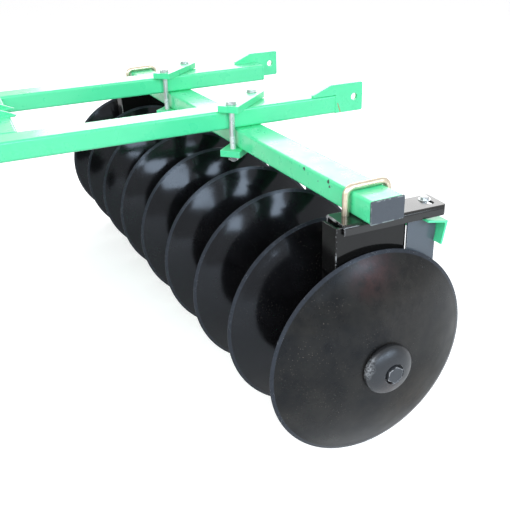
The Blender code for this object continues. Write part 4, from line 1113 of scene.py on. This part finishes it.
# Studio
def camera():
    """Stands where the photograph was taken from, worked out in the rear gang's own frame."""
    focal, picture, sensor = 709.08, 510, 36
    local = Vector((-1.10731 - HALF_GANG, 0.80795, 0.90927))
    yaw, pitch, roll = math.radians(25.62), math.radians(25.81), math.radians(-2.24)
    forward = Vector((math.cos(yaw) * math.cos(pitch), -math.sin(yaw) * math.cos(pitch), -math.sin(pitch)))
    level = forward.cross(Vector((0, 0, 1))).normalized()
    upright = level.cross(forward)
    right = level * math.cos(roll) + upright * math.sin(roll)
    up = upright * math.cos(roll) - level * math.sin(roll)
    turn = Matrix((right, up, -forward)).transposed().to_4x4()
    turn.translation = local
    data = bpy.data.cameras.new("camera")
    data.sensor_width = sensor
    data.sensor_fit = "HORIZONTAL"
    data.lens = sensor * focal / picture
    data.clip_start = 0.05
    made = new_object("camera", data)
    made.matrix_world = gang_matrix(1) @ turn
    bpy.context.scene.camera = made


def lamp(name, place, target, size, power, colour=(1, 1, 1)):
    data = bpy.data.lights.new(name, "AREA")
    data.shape = "RECTANGLE"
    data.size, data.size_y = size
    data.energy = power
    data.color = colour
    made = new_object(name, data)
    made.location = place
    made.rotation_euler = (Vector(target) - Vector(place)).to_track_quat("-Z", "Y").to_euler()


def seen_by(tree, *rays):
    """1 for these kinds of ray, 0 for all others."""
    path = tree.nodes.new("ShaderNodeLightPath")
    result = path.outputs[rays[0]]
    for ray in rays[1:]:
        either = tree.nodes.new("ShaderNodeMath")
        either.operation = "MAXIMUM"
        tree.links.new(result, either.inputs[0])
        tree.links.new(path.outputs[ray], either.inputs[1])
        result = either.outputs[0]
    return result


def ranged(tree, source, start, end, target):
    """Feeds the target with start where the source is 0 and end where it is 1."""
    node = tree.nodes.new("ShaderNodeMapRange")
    node.inputs["To Min"].default_value = start
    node.inputs["To Max"].default_value = end
    tree.links.new(source, node.inputs["Value"])
    tree.links.new(node.outputs["Result"], target)


def studio():
    """A pale floor, a white surround that the object sees less bright, and four soft lamps."""
    scene = bpy.context.scene
    scene.view_settings.view_transform = "Standard"
    work = bmesh.new()
    bmesh.ops.create_circle(work, cap_ends=True, segments=96, radius=14)
    floor = new_object("floor", new_mesh(work, "floor"))
    floor.location.z = -0.0006
    material = bpy.data.materials.new("floor")
    material.use_nodes = True
    shader = material.node_tree.nodes["Principled BSDF"]
    shader.inputs["Base Color"].default_value = (0.80, 0.80, 0.80, 1)
    shader.inputs["Roughness"].default_value = 0.9
    shader.inputs["Emission Color"].default_value = (1, 1, 1, 1)
    seen = seen_by(material.node_tree, "Is Camera Ray", "Is Glossy Ray")
    ranged(material.node_tree, seen, 0.0, 0.60, shader.inputs["Emission Strength"])
    floor.data.materials.append(material)

    scene.world = bpy.data.worlds.new("studio")
    scene.world.use_nodes = True
    tree = scene.world.node_tree
    background = tree.nodes["Background"]
    background.inputs["Color"].default_value = (1, 1, 1, 1)
    seen = seen_by(tree, "Is Camera Ray", "Is Glossy Ray", "Is Transmission Ray")
    ranged(tree, seen, 0.42, 1.0, background.inputs["Strength"])

    side_target, side_colour = (-0.5, -0.55, 0.4), (0.74, 0.87, 1.0)
    lamp("key", (-1.2, 2.6, 3.0), (-0.2, -0.3, 0.5), (2.8, 2.8), 98)
    lamp("sky", (3.4, -2.4, 2.5), (-0.3, -0.2, 0.5), (4.6, 2.4), 110)
    lamp("side_rear", (-4.1, -2.25, 2.35), side_target, (1.50, 1.30), 74, side_colour)
    lamp("side_front", (-4.4, 0.25, 2.35), side_target, (1.60, 1.30), 76, side_colour)


for gang, facing in (("rear", 1), ("front", -1)):
    build_discs(gang, facing)
    build_axle(gang, facing)
    build_beam(gang, facing)
    for label, centre in zip(("outer", "inner"), HANGER_X):
        build_hanger(gang, facing, label, centre)
    build_scrapers(gang, facing)
    build_clamps(gang, facing)
build_frame()
camera()
studio()
